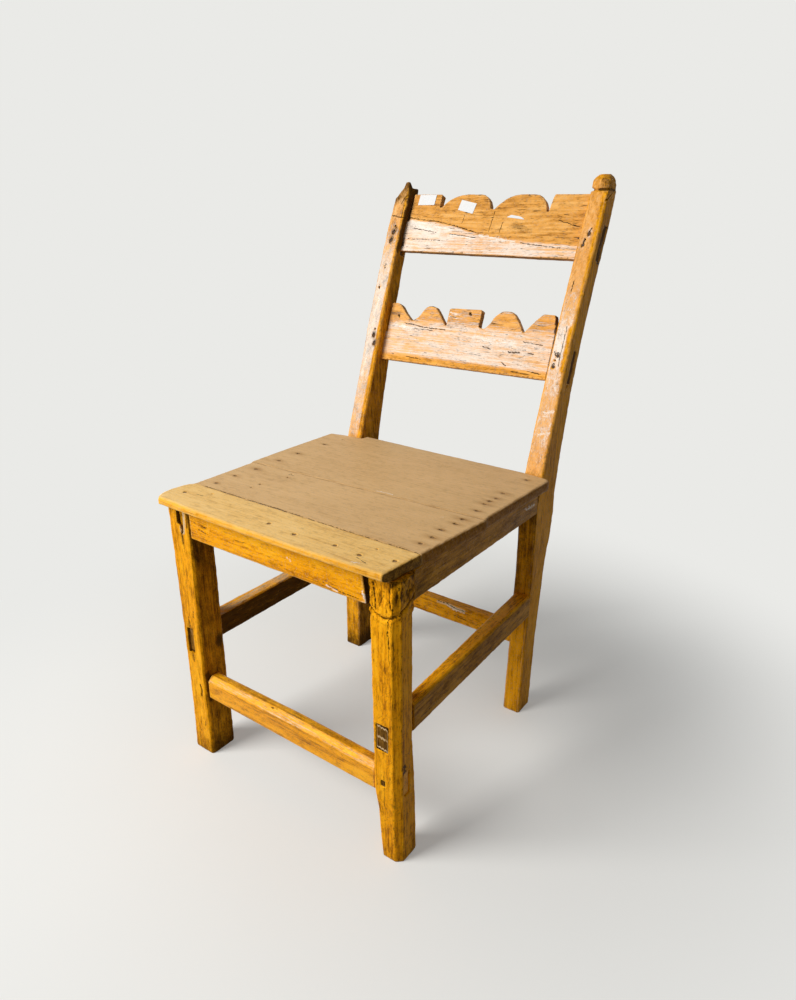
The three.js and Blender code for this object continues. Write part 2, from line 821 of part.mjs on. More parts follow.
function sideSawCut() {
  const mark = backHeight - capHeight - grooveHeight;
  const front = postFront(mark - 18);
  const shape = new THREE.Shape();
  shape.moveTo(front - 4, mark - 19);
  shape.lineTo(front + 40, mark + 2);
  shape.lineTo(front + 40, mark + 4);
  shape.lineTo(front - 4, mark - 16.5);
  shape.closePath();
  const geometry = new THREE.ExtrudeGeometry(shape, { depth: past + 3, bevelEnabled: false });
  geometry.applyMatrix4(new THREE.Matrix4().set(
    0, 0, 1, postOuter('right', mark) - 3,
    1, 0, 0, 0,
    0, 1, 0, 0,
    0, 0, 0, 1,
  ));
  return toSolid(geometry);
}

// Small square hole in the outer face of the right post, under the lower rail's tenon
function sideHole() {
  const z = lowerRailUnder - 6;
  const y = postFront(z) + 22;
  const outer = postOuter('right', z);
  return box({ x: [outer - 7, outer + past], y: [y - 2.5, y + 2.5], z: [z - 3, z + 3] });
}

function makePost(side) {
  const top = side === 'left' ? leftTop() : rightCap();
  const apronTenon = sideApronTenonBoxes(side).back;
  const stretcherTenon = sideStretcherTenonBoxes(side).back;
  const cutters = [
    box(stretcherTenon, fit),
    box(apronTenon, fit),
    box(backStretcherTenonBox(side), fit),
    box(backApronTenonBox(side), fit),
    railTenon(crestSpot, side, fit, side === 'left' ? mortiseSlack : 0),
    railTenon(lowerSpot, side, fit),
    ...railNailHoles,
    ...postOldHoles[side].map(([x, z]) => oldHole(onPost(x, z))),
  ];
  if (side === 'right') cutters.push(sideSawCut(), sideHole());
  return cutAll(postBody(side).add(top), cutters);
}

addPiece('back_left_post', toGeometry(makePost('left')), 'scrubbed');
addPiece('back_right_post', toGeometry(makePost('right')), 'scrubbed');

// Back rails

function makeRail(spot, shape) {
  const plate = flatPlate(shape, railThickness);
  plate.applyMatrix4(railMatrix(spot));
  const blank = toSolid(plate)
    .add(railTenon(spot, 'left'))
    .add(railTenon(spot, 'right'));
  return cutAll(blank, railNailHoles);
}

function onRail(spot, x, y) {
  const local = new THREE.Matrix4().makeTranslation(x, y, 0);
  return railMatrix(spot).multiply(local);
}

function makeLowerRail() {
  const holes = [[-146, 83], [3, 98]].map(([x, y]) => oldHole(onRail(lowerSpot, x, y)));
  return cutAll(makeRail(lowerSpot, lowerRailShape()), holes);
}

addPiece('crest_rail', toGeometry(makeRail(crestSpot, crestShape())), 'scrubbed');
addPiece('lower_back_rail', toGeometry(makeLowerRail()), 'scrubbed');

// Aprons

function makeFrontApron() {
  const y = [frontApronSetback, frontApronSetback + apronThickness];
  const z = [apronUnder, frameTop];
  const left = legInner('left', apronMiddle) + 2 * fit;
  const right = legInner('right', apronMiddle) - shoulderGapBottom;
  const body = bar('x', [{ at: left, y, z }, { at: right, y, z }], apronChamfer);
  const slope = new THREE.Shape();
  slope.moveTo(right - shoulderGapTop, frameTop + 1);
  slope.lineTo(right, apronUnder - 1);
  slope.lineTo(right + past, apronUnder - 1);
  slope.lineTo(right + past, frameTop + 1);
  slope.closePath();
  const wedge = new THREE.ExtrudeGeometry(slope, {
    depth: apronThickness + 2 * past, bevelEnabled: false,
  });
  wedge.rotateX(Math.PI / 2);
  wedge.translate(0, frontApronSetback + apronThickness + past, 0);
  const rightTenon = { ...frontApronTenons.right, x: [...frontApronTenons.right.x] };
  rightTenon.x[0] -= shoulderGapTop + past;
  return body.subtract(toSolid(wedge))
    .add(box(frontApronTenons.left))
    .add(box(rightTenon));
}

function makeSideApron(side) {
  const outer = side === 'left' ? leftApronOuter : rightApronOuter;
  const inner = outer - sideSign[side] * apronThickness;
  const x = [Math.min(outer, inner), Math.max(outer, inner)];
  const z = [apronUnder, frameTop];
  const from = legDepth + fit;
  const to = frameDepth - fit;
  const { front, back } = sideApronTenonBoxes(side);
  return bar('y', [{ at: from, x, z }, { at: to, x, z }], apronChamfer)
    .add(box(front))
    .add(box(back));
}

function makeBackApron() {
  const y = [backApronFront, backApronFront + apronThickness];
  const z = [apronUnder, frameTop];
  const left = postInner('left', apronMiddle) + 2 * fit;
  const right = postInner('right', apronMiddle) - 2 * fit;
  return bar('x', [{ at: left, y, z }, { at: right, y, z }], apronChamfer)
    .add(box(backApronTenonBox('left')))
    .add(box(backApronTenonBox('right')));
}

addPiece('front_apron', toGeometry(cutAll(makeFrontApron(), allSeatNailHoles)), 'varnish');
addPiece('left_apron', toGeometry(cutAll(makeSideApron('left'), allSeatNailHoles)), 'shadedVarnish');
addPiece('right_apron', toGeometry(cutAll(makeSideApron('right'), allSeatNailHoles)), 'shadedVarnish');
addPiece('back_apron', toGeometry(cutAll(makeBackApron(), allSeatNailHoles)), 'shadedVarnish');

// Stretchers

function makeFrontStretcher() {
  const y = [2, 2 + frontStretcher.thickness];
  const z = [frontStretcher.under, frontStretcher.under + frontStretcher.height];
  const left = Math.max(legInner('left', z[0]), legInner('left', z[1])) + fit;
  const right = Math.min(legInner('right', z[0]), legInner('right', z[1])) - fit;
  const cuts = [stretcherChamfer, stretcherChamfer, stretcherBackEdge, stretcherWornEdge];
  const middle = { at: 20, y, z: [z[0], z[1] + 3] };
  const stations = [{ at: left, y, z }, middle, { at: right, y, z }];
  return bar('x', stations, cuts)
    .add(box(frontStretcherTenons.left))
    .add(box(frontStretcherTenons.right))
    .subtract(box(pegBox(-past), fit));
}

function makeSideStretcher(side) {
  const { frontFaces, backFaces, size, dip } = sideStretchers[side];
  const top = size.under + size.height;
  const { front, back } = sideStretcherTenonBoxes(side);
  return bar('y', [
    { at: legDepth + fit, x: frontFaces, z: [size.under - dip, top - dip / 2] },
    { at: frameDepth - fit, x: backFaces, z: [size.under + dip, top + dip / 2] },
  ], stretcherChamfer)
    .add(box(front))
    .add(box(back));
}

function makeBackStretcher() {
  const y = [backStretcherFront, backStretcherFront + backStretcher.thickness];
  const z = [backStretcher.under, backStretcher.under + backStretcher.height];
  const left = postInner('left', z[0]) + 2 * fit;
  const right = Math.min(postInner('right', z[0]), postInner('right', z[1])) - fit;
  return bar('x', [{ at: left, y, z }, { at: right, y, z }], stretcherChamfer)
    .add(box(backStretcherTenonBox('left')))
    .add(box(backStretcherTenonBox('right')));
}

addPiece('front_stretcher', toGeometry(makeFrontStretcher()), 'varnish');
addPiece('left_stretcher', toGeometry(makeSideStretcher('left')), 'shadedVarnish');
addPiece('right_stretcher', toGeometry(makeSideStretcher('right')), 'varnish');
addPiece('back_stretcher', toGeometry(makeBackStretcher()), 'varnish');

// Plugs and peg

addPiece('front_left_plug', toGeometry(box(plugBox(leftPlug, 0.8))), 'splinter');
addPiece('front_right_plug', toGeometry(box(plugBox(rightPlug, 0.4))), 'splinter');
addPiece('front_right_peg', toGeometry(box(pegBox(0.6))), 'splinter');

// Seat: one outline, cut into three boards along two seams that aren't quite square

function seatOutline() {
  const left = -backHalf - sideOverhangLeft;
  const right = backHalf + sideOverhangRight;
  const frontRight = right - cornerSetbackRight + 5;
  const back = frameDepth + kneeSet;
  const shape = new THREE.Shape();
  shape.moveTo(left + 14, -noseOverhangLeft);
  shape.quadraticCurveTo(20, -2 * noseOverhang + noseOverhangRight - 2, frontRight - 2,
    -noseOverhangRight);
  shape.lineTo(frontRight, -noseOverhangRight + 3);
  shape.lineTo(frontRight + 6, seamFrontRight);
  shape.lineTo(right, seamBackRight - 4);
  shape.lineTo(right - 2.5, seamBackRight + 6);
  shape.lineTo(right - 2, seamBackRight + 40);
  shape.lineTo(right + 2, back - 30);
  shape.quadraticCurveTo(right + 5, back - 9, right - 7, back - 5);
  shape.lineTo(postInner('right', seatHeight) - 2, back + 2);
  shape.lineTo(-40, back + 9);
  shape.lineTo(postInner('left', seatHeight) + 4, back + 15);
  shape.lineTo(postInner('left', seatHeight) + 3, back + 1);
  shape.lineTo(postOuter('left', seatHeight), back - 2);
  shape.lineTo(left + 2, back - 7);
  shape.quadraticCurveTo(left - 3, back - 8, left - 3, back - 16);
  shape.lineTo(left - 2, seamBackLeft + 90);
  shape.lineTo(left + 1, seamBackLeft + 4);
  shape.lineTo(left + 5, seamBackLeft - 4);
  shape.lineTo(left + 9, seamFrontLeft + 3);
  shape.lineTo(left + 8, seamFrontLeft - 2);
  shape.quadraticCurveTo(left, seamFrontLeft - 8, left - 0.5, 22);
  shape.quadraticCurveTo(left - 0.5, -2, left + 14, -noseOverhangLeft);
  shape.closePath();
  return shape;
}

function seatBlank() {
  const geometry = new THREE.ExtrudeGeometry(seatOutline(), {
    depth: seatThickness - 2 * seatRounding,
    bevelThickness: seatRounding,
    bevelSize: seatRounding,
    bevelOffset: -seatRounding,
    bevelSegments: 2,
    curveSegments: 6,
  });
  geometry.translate(0, 0, boardUnder + seatRounding);
  return toSolid(geometry);
}

// The front edge is cut away below its lip, back to the underside
function noseBevel() {
  const reach = backHalf + 2 * sideOverhangLeft;
  const shape = new THREE.Shape();
  shape.moveTo(noseBevelBack, boardUnder);
  shape.lineTo(noseBevelBack + past, boardUnder - past);
  shape.lineTo(-2 * noseOverhang, boardUnder - past);
  shape.lineTo(-2 * noseOverhang, seatHeight - noseLip);
  shape.lineTo(-noseOverhang, seatHeight - noseLip);
  shape.closePath();
  const geometry = new THREE.ExtrudeGeometry(shape, { depth: 2 * reach, bevelEnabled: false });
  geometry.applyMatrix4(new THREE.Matrix4().set(
    0, 0, 1, -reach,
    1, 0, 0, 0,
    0, 1, 0, 0,
    0, 0, 0, 1,
  ));
  return toSolid(geometry);
}

// The strip of the seat between two seams; each seam is a pair [y at the left, y at the right]
function strip(frontSeam, backSeam) {
  const reach = backHalf + 2 * sideOverhangLeft;
  const shape = new THREE.Shape();
  shape.moveTo(-reach, frontSeam[0]);
  shape.lineTo(reach, frontSeam[1]);
  shape.lineTo(reach, backSeam[1]);
  shape.lineTo(-reach, backSeam[0]);
  shape.closePath();
  const geometry = new THREE.ExtrudeGeometry(shape, {
    depth: seatThickness + 2 * past, bevelEnabled: false,
  });
  geometry.translate(0, 0, boardUnder - past);
  return toSolid(geometry);
}

const frontSeam = [seamFrontLeft, seamFrontRight];
const backSeam = [seamBackLeft, seamBackRight];
const shifted = (seam, by) => seam.map((y) => y + by);
const beyondFront = [-3 * noseOverhang, -3 * noseOverhang];
const beyondBack = [frameDepth * 2, frameDepth * 2];
const boardStrips = {
  front: strip(beyondFront, shifted(frontSeam, -seamGap / 2)),
  middle: strip(shifted(frontSeam, seamGap / 2), shifted(backSeam, -seamGap / 2)),
  back: strip(shifted(backSeam, seamGap / 2), beyondBack),
};

const blank = seatBlank().subtract(noseBevel());
const grownPosts = [postBody('left', 2 * fit), postBody('right', 2 * fit)];

for (const [board, cut] of Object.entries(boardStrips)) {
  const plank = cutAll(blank.intersect(cut), [
    ...grownPosts,
    ...seatNailHoles(board),
    ...seatOldHoles[board].map(([x, y]) => oldHole(onSeat(x, y))),
  ]);
  const finish = board === 'front' ? 'honey' : 'khaki';
  addPiece(`seat_board_${board}`, toGeometry(plank), finish);
}

// Nails

for (const [board, places] of Object.entries(seatNails)) {
  places.forEach(([x, y], index) => {
    const nail = placedNail(onSeat(x, y), seatNailLength);
    addPiece(`seat_nail_${board}_${index + 1}`, toGeometry(toSolid(nail)), 'iron');
  });
}

for (const [name, [x, z]] of Object.entries(railNails)) {
  addPiece(name, toGeometry(toSolid(placedNail(onPost(x, z), backNailLength))), 'iron');
}

// Labels: plain blank paper, stuck flat on the crest rail. Corners are on the rail's own face.
const labelCorners = {
  label_left: [[-155, 85], [-119.5, 85.5], [-118.5, 104], [-154.5, 103.8]],
  label_middle: [[-66.5, 77], [-35, 70.5], [-31, 88.5], [-63, 95]],
  label_torn: [[34, 65.5], [68, 62], [62, 66], [56, 67.5], [42, 69.5]],
};

for (const [name, corners] of Object.entries(labelCorners)) {
  const shape = new THREE.Shape(corners.map(([x, y]) => new THREE.Vector2(x, y)));
  const plate = flatPlate(shape, labelThickness);
  plate.translate(0, 0, labelThickness + fit);
  plate.applyMatrix4(railMatrix(crestSpot));
  addPiece(name, plate, 'paper');
}

// Origin under the middle of the chair's box
const bounds = new THREE.Box3().setFromObject(chair);
const middle = bounds.getCenter(new THREE.Vector3());
chair.position.set(-middle.x, -middle.y, -bounds.min.z);

export default chair;
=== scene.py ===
"""A worn pine side chair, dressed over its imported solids.

Each wooden solid is copied, rounded and worn, and takes a finish of its own: old amber varnish,
scrubbed pine with remains of pale paint, or rubbed khaki paint. Metres, +Z up, the chair faces -Y.
"""
import math

import bpy
import numpy as np
from bpy.props import FloatProperty, FloatVectorProperty, PointerProperty
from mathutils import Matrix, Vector


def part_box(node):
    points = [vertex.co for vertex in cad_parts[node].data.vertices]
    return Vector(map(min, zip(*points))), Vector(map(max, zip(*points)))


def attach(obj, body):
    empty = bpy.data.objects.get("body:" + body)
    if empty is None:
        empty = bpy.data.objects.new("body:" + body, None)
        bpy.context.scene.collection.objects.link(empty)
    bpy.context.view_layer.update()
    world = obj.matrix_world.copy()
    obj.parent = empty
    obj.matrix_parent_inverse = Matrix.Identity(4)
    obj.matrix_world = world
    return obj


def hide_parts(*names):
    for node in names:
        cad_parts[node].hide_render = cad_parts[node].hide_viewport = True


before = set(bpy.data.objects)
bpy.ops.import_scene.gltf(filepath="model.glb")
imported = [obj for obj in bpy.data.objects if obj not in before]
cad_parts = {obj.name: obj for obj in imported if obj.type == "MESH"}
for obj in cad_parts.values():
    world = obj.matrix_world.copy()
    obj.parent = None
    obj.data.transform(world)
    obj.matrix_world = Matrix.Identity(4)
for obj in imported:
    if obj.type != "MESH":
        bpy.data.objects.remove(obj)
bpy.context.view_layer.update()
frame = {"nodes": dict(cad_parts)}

bl_info = {
    "name": "Worn Pine Side Chair",
    "version": (1, 0, 0),
    "blender": (4, 5, 0),
    "location": "View3D > Sidebar > Chair",
    "description": "Dresses the packed solids of a worn pine side chair",
    "category": "Object",
}

MM = 0.001
# Edges as sharp as this radius are worn the most
EDGE_RADIUS = 0.006
# Times that a crack or a scuff reaches deeper below its face than beside its line
REACH_BELOW = 1 / 0.15

# The chair's own measuring lines: its centre line and the front faces of its front legs
CENTRE_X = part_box("left_apron")[0].x + 205 * MM
FRONT_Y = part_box("front_apron")[0].y - 1 * MM


def spot(x, y, z):
    """A place on the chair in metres, from millimetres off its own measuring lines."""
    return Vector((CENTRE_X + x * MM, FRONT_Y + y * MM, z * MM))


def path(*numbers):
    """Places on the chair, from the x, y and z of each in turn."""
    return [spot(*numbers[at:at + 3]) for at in range(0, len(numbers), 3)]


def lines(*rows, facing=None):
    """Routes for cracks or scuffs. A row is a width in millimetres, then a path's numbers."""
    return [(path(*numbers), width * MM, facing) for width, *numbers in rows]


def linear(hex_colour):
    """A colour written as 0xRRGGBB on the screen's scale, as linear red, green, blue, alpha."""
    parts = [(hex_colour >> shift & 255) / 255 for shift in (16, 8, 0)]
    return tuple((p / 12.92 if p < 0.04 else ((p + 0.055) / 1.055) ** 2.4) for p in parts) + (1.0,)


def linears(*hex_colours):
    return [linear(hex_colour) for hex_colour in hex_colours]


# Finishes that no setting holds, each from its light streaks to its dark ones
POST_VARNISH = linears(0xF6AE20, 0xE2980C, 0x8A5005)
CREST_VARNISH = linears(0xECB569, 0xDB9A47, 0x8C5A26)
NOSE_VARNISH = linears(0xF4B84A, 0xE29C24, 0x96600F)
BROWN_SMUDGES = linears(0xB47C20, 0x8C5A10, 0x4A2C06)
SPLINTERS = linears(0xA87A30, 0x7C5620, 0x452C10)
STAIN = linear(0x6E3E0A)
SCUFF = linear(0xFBF4EA)


# Settings


def length_setting(name, description, default):
    return FloatProperty(
        name=name, description=description, default=default, min=0.0, unit="LENGTH",
        subtype="DISTANCE", precision=4,
    )


def colour_setting(name, description, default):
    return FloatVectorProperty(
        name=name, description=description, default=linear(default)[:3], size=3, min=0.0, max=1.0,
        subtype="COLOR",
    )


class ChairWear(bpy.types.PropertyGroup):
    """How far the wooden pieces are rounded and worn"""

    frame_detail: length_setting("Frame Detail", "Size of the facets of posts and rails", 0.0020)
    leg_detail: length_setting("Leg Detail", "Size of the facets of the front legs", 0.0015)
    seat_detail: length_setting("Seat Detail", "Size of the facets of the seat boards", 0.0017)
    small_detail: length_setting("Small Detail", "Size of the facets of plugs and peg", 0.0008)
    waviness: length_setting("Waviness", "Depth of the unevenness of hand-planed faces", 0.0002)
    nicks: length_setting("Nicks", "Depth of the nicks along edges", 0.0003)


class ChairColours(bpy.types.PropertyGroup):
    """Colours of the finishes"""

    amber_light: colour_setting("Light Amber", "Thin varnish on legs and stretchers", 0xFCB41C)
    amber: colour_setting("Amber", "Varnish on legs and stretchers", 0xEC9C0A)
    amber_deep: colour_setting("Deep Amber", "Dark streaks in that varnish", 0x9A5A08)
    # The shaded colours are the amber varnish darkened as painted shade, for the aprons under the
    # seat and the right stretcher's sides, together with the dirt there.
    shaded_light: colour_setting("Light Shaded", "Thin dirty varnish under the seat", 0xCA8C12)
    shaded: colour_setting("Shaded Amber", "Dirty varnish under the seat", 0xA66E0A)
    shaded_deep: colour_setting("Deep Shaded", "Dark streaks in that varnish", 0x5E3A08)
    scrubbed_light: colour_setting("Light Pine", "Light streaks of posts and rails", 0xF4BF80)
    scrubbed: colour_setting("Scrubbed Pine", "Bare orange pine of posts and rails", 0xE6A354)
    scrubbed_deep: colour_setting("Deep Pine", "Dark streaks of posts and rails", 0xB2702C)
    pale: colour_setting("Pale Paint", "Remains of pale paint", 0xF7E7D8)
    khaki: colour_setting("Khaki Paint", "Paint on the middle and back seat boards", 0xD8B17C)
    honey: colour_setting("Honey Varnish", "Varnish on the front seat board", 0xF0C374)
    # Grime is also the colour of the painted shade that the dark attribute carries.
    grime_and_shade: colour_setting("Grime", "Dirt in cracks, joints and holes", 0x2A1706)
    rust: colour_setting("Rust", "Rust on the nails", 0x5A3A20)
    paper: colour_setting("Paper", "Blank labels", 0xE0E1E2)
    floor: colour_setting("Floor", "Plain studio floor", 0xF2F2EF)


class ChairStage(bpy.types.PropertyGroup):
    """Lights and floor"""

    key_power: FloatProperty(name="Key Light", description="Power of the front light",
                             default=133.0, min=0.0, unit="POWER")
    fill_power: FloatProperty(name="Fill Light", description="Power of the side light", default=2.0,
                              min=0.0, unit="POWER")
    world_light: FloatProperty(name="Room Light", description="Strength of the light all round",
                               default=0.17, min=0.0)


# Shaping


def activate(piece):
    bpy.ops.object.select_all(action="DESELECT")
    piece.select_set(True)
    bpy.context.view_layer.objects.active = piece


def copy_solid(node, name):
    """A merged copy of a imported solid, as a new piece."""
    piece = bpy.data.objects.new(name, frame["nodes"][node].data.copy())
    bpy.context.scene.collection.objects.link(piece)
    piece.data.materials.clear()
    activate(piece)
    bpy.ops.object.mode_set(mode="EDIT")
    bpy.ops.mesh.select_all(action="SELECT")
    bpy.ops.mesh.remove_doubles(threshold=0.00001)
    bpy.ops.object.mode_set(mode="OBJECT")
    return piece


def finish_with(piece, kind, **settings):
    modifier = piece.modifiers.new(kind.lower(), kind)
    for key, value in settings.items():
        setattr(modifier, key, value)
    activate(piece)
    bpy.ops.object.modifier_apply(modifier=modifier.name)


def carve(piece, depth, across, along, grain, group="", contrast=1.0, rarity=0.0, shift=0.0):
    """Sinks the surface by up to depth, in a pattern stretched along the grain."""
    bpy.ops.object.select_all(action="DESELECT")
    bpy.ops.object.empty_add(location=(shift, 2 * shift, 3 * shift))
    ruler = bpy.context.object
    ruler.scale = [along if axis == grain else across for axis in "xyz"]
    bpy.context.view_layer.update()
    pattern = bpy.data.textures.new("carving", "CLOUDS")
    pattern.noise_scale = 1.0
    pattern.noise_depth = 2
    pattern.contrast = contrast
    pattern.intensity = 1.0 + rarity
    finish_with(
        piece, "DISPLACE", texture=pattern, texture_coords="OBJECT", texture_coords_object=ruler,
        strength=depth, mid_level=1.0, vertex_group=group,
    )
    bpy.data.textures.remove(pattern)
    bpy.data.objects.remove(ruler)


def dent(piece, weights, depth):
    """Sinks the surface by the depth where the weights are 1."""
    group_by(piece, "dent", weights)
    finish_with(piece, "DISPLACE", strength=-depth, mid_level=0.0, vertex_group="dent")
    piece.vertex_groups.remove(piece.vertex_groups["dent"])


def points_of(piece):
    """The places and normals of a piece's vertices."""
    mesh = piece.data
    places = np.empty(len(mesh.vertices) * 3)
    mesh.vertices.foreach_get("co", places)
    normals = np.empty(len(mesh.vertices) * 3)
    mesh.vertex_normals.foreach_get("vector", normals)
    return places.reshape(-1, 3), normals.reshape(-1, 3)


def move_points(piece, places):
    piece.data.vertices.foreach_set("co", places.ravel())
    piece.data.update()


def roundness(piece, radius, spread):
    """1 on edges as sharp as the radius, 0 on flat faces, -1 in hollows as tight as it."""
    places, normals = points_of(piece)
    ends = np.empty(len(piece.data.edges) * 2, dtype=np.int64)
    piece.data.edges.foreach_get("vertices", ends)
    first, second = ends.reshape(-1, 2).T
    degree = np.maximum(np.bincount(first, minlength=len(places))
                        + np.bincount(second, minlength=len(places)), 1)

    def mean_of_neighbours(values):
        total = np.bincount(first, values[second], len(places))
        return (total + np.bincount(second, values[first], len(places))) / degree

    middle = np.stack([mean_of_neighbours(places[:, axis]) for axis in range(3)], axis=1)
    step = np.linalg.norm(places[first] - places[second], axis=1).mean()
    bend = -((middle - places) * normals).sum(axis=1) / (step * step / (4 * radius))
    for _ in range(spread):
        bend = (bend + mean_of_neighbours(bend)) / 2
    return np.clip(bend, -1, 1)


def write_attribute(piece, name, values):
    attribute = piece.data.attributes.get(name)
    if attribute is None:
        attribute = piece.data.attributes.new(name, "FLOAT", "POINT")
    attribute.data.foreach_set("value", np.asarray(values, dtype=np.float32))


def group_by(piece, name, weights):
    """A vertex group whose weights come in ten steps."""
    group = piece.vertex_groups.new(name=name)
    steps = np.round(np.clip(weights, 0, 1) * 10).astype(int)
    for step in range(1, 11):
        members = np.flatnonzero(steps == step)
        if len(members):
            group.add(members.tolist(), step / 10, "REPLACE")


def smooth_step(values, low, high):
    t = np.clip((values - low) / (high - low), 0, 1)
    return t * t * (3 - 2 * t)


def near_line(places, points, radius):
    """1 on a line through the points, falling to 0 at the radius."""
    weights = np.zeros(len(places))
    for start, end in zip(points, points[1:]):
        start, run = np.array(start), np.array(end) - np.array(start)
        share = np.clip((places - start) @ run / (run @ run), 0, 1)
        gap = np.linalg.norm(places - start - share[:, None] * run, axis=1)
        weights = np.maximum(weights, 1 - smooth_step(gap, 0, radius))
    return weights


class Surface:
    """The points of a piece: x, y, z in metres, across and depth in millimetres off the chair's
    own measuring lines, and how far they face right, back and up."""

    def __init__(self, piece):
        self.places, normals = points_of(piece)
        self.x, self.y, self.z = self.places.T
        self.right, self.back, self.up = normals.T
        self.across = (self.x - CENTRE_X) / MM
        self.depth = (self.y - FRONT_Y) / MM

    def near(self, point, radius, stretch=(1, 1, 1)):
        """1 at the point, falling to 0 at the radius, which the stretch multiplies by axis."""
        gap = (self.places - np.array(point)) / np.array(stretch)
        return 1 - smooth_step(np.linalg.norm(gap, axis=1), 0, radius)

    def stains(self, *rows):
        """Dirt along lines. A row is an amount, a radius in millimetres, then a path's numbers."""
        return sum(amount * near_line(self.places, path(*numbers), radius * MM)
                   for amount, radius, *numbers in rows)


def head_of(nail):
    """The middle of the head of a nail in the raked back."""
    low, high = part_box(nail)
    return Vector(((low.x + high.x) / 2, low.y, high.z))


def weather(node, grain, detail, order, wave=1.0, nicks=1.0, softness=2, rounded=None, gnarl=None,
            dents=()):
    """The worn copy of a wooden solid, with its edge and hollow attributes. It is rounded more and
    gnarled where those functions of the height give 1. A dent is a row of its radius and its depth
    in millimetres, then a path's numbers."""
    wear = bpy.context.scene.chair_wear
    piece = copy_solid(node, "worn_" + node)
    span = max(piece.dimensions)
    octaves = math.ceil(math.log2(span / detail))
    finish_with(piece, "REMESH", mode="SHARP", octree_depth=octaves, sharpness=1.0,
                scale=min(span / detail / 2 ** octaves, 0.99), use_remove_disconnected=False)
    finish_with(piece, "SMOOTH", factor=0.5, iterations=softness)
    if rounded:
        group_by(piece, "rounded", rounded(Surface(piece).z))
        finish_with(piece, "SMOOTH", factor=0.5, iterations=18, vertex_group="rounded")
    group_by(piece, "edges", np.clip(roundness(piece, EDGE_RADIUS, 3), 0, 1))
    carve(piece, wear.waviness * wave, 0.05, 0.24, grain, shift=order * 1.7)
    carve(piece, wear.waviness * wave * 0.4, 0.008, 0.06, grain, shift=order * 2.9)
    carve(piece, wear.nicks * nicks, 0.006, 0.016, grain, group="edges", contrast=5.0, rarity=1.5,
          shift=order * 0.9)
    if gnarl:
        group_by(piece, "gnarl", gnarl(Surface(piece).z))
        carve(piece, 0.0030, 0.016, 0.024, grain, group="gnarl", contrast=1.8, shift=order * 3.3)
        carve(piece, 0.0011, 0.0085, 0.017, grain, group="gnarl", contrast=2.2, shift=order * 2.3)
    for radius, depth, *numbers in dents:
        along = near_line(points_of(piece)[0], path(*numbers), radius * MM)
        dent(piece, along, depth * MM)
    piece.vertex_groups.clear()
    keep_inside(piece, node)
    bend = roundness(piece, EDGE_RADIUS, 2)
    write_attribute(piece, "edge", np.clip(bend, 0, 1))
    write_attribute(piece, "hollow", np.clip(-bend, 0, 1))
    activate(piece)
    bpy.ops.object.shade_smooth()
    return piece


def keep_inside(piece, node):
    """Keeps a worn piece inside its solid's box, and the soles of its feet on the floor."""
    places, normals = points_of(piece)
    sole = (places[:, 2] < 0.0035) & (normals[:, 2] < -0.6)
    places[sole, 2] = 0.0
    low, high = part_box(node)
    move_points(piece, np.clip(places, np.array(low), np.array(high)))


def settle(piece, node, material, pale=0.0, dark=0.0, varnish=0.0):
    """Gives a worn piece its stains and painted shade, its material and its place in the model."""
    blank = np.zeros(len(piece.data.vertices))
    front = 1 - smooth_step(Surface(piece).back, 0.2, 0.6)
    for name, amount in (("pale", pale), ("dark", dark), ("varnish", varnish), ("front", front)):
        write_attribute(piece, name, np.clip(blank + amount, 0, 1))
    piece.data.materials.append(material)
    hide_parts(node)
    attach(piece, "root")


def repaint(node, material):
    """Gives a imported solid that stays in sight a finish."""
    for slot in frame["nodes"][node].material_slots:
        slot.material = material


# Materials


class Nodes:
    """The node tree of a material or a world, with short calls for its nodes."""

    def __init__(self, owner):
        owner.use_nodes = True
        self.tree = owner.node_tree

    def node(self, kind, **settings):
        made = self.tree.nodes.new(kind)
        for key, value in settings.items():
            setattr(made, key, value)
        return made

    def feed(self, socket, value):
        if isinstance(value, bpy.types.NodeSocket):
            self.tree.links.new(value, socket)
        else:
            socket.default_value = value

    def fill(self, node, **values):
        """Feeds a node's inputs by their names, with _ in place of a space."""
        for name, value in values.items():
            self.feed(node.inputs[name.replace("_", " ")], value)
        return node

    def mix_shaders(self, share, first, second):
        made = self.node("ShaderNodeMixShader")
        for socket, value in zip(made.inputs, (share, first, second)):
            self.feed(socket, value)
        return made.outputs[0]

    def math(self, operation, first, second=0.0, clamp=False):
        made = self.node("ShaderNodeMath", operation=operation, use_clamp=clamp)
        self.feed(made.inputs[0], first)
        self.feed(made.inputs[1], second)
        return made.outputs[0]

    def times(self, first, second, clamp=False):
        return self.math("MULTIPLY", first, second, clamp)

    def most(self, first, second):
        return self.math("MAXIMUM", first, second)

    def seen_directly(self):
        """1 for what the camera sees, by itself or in a mirror or glass, 0 for other light."""
        path = self.node("ShaderNodeLightPath")
        mirrored = self.most(path.outputs["Is Glossy Ray"], path.outputs["Is Transmission Ray"])
        return self.most(path.outputs["Is Camera Ray"], mirrored)


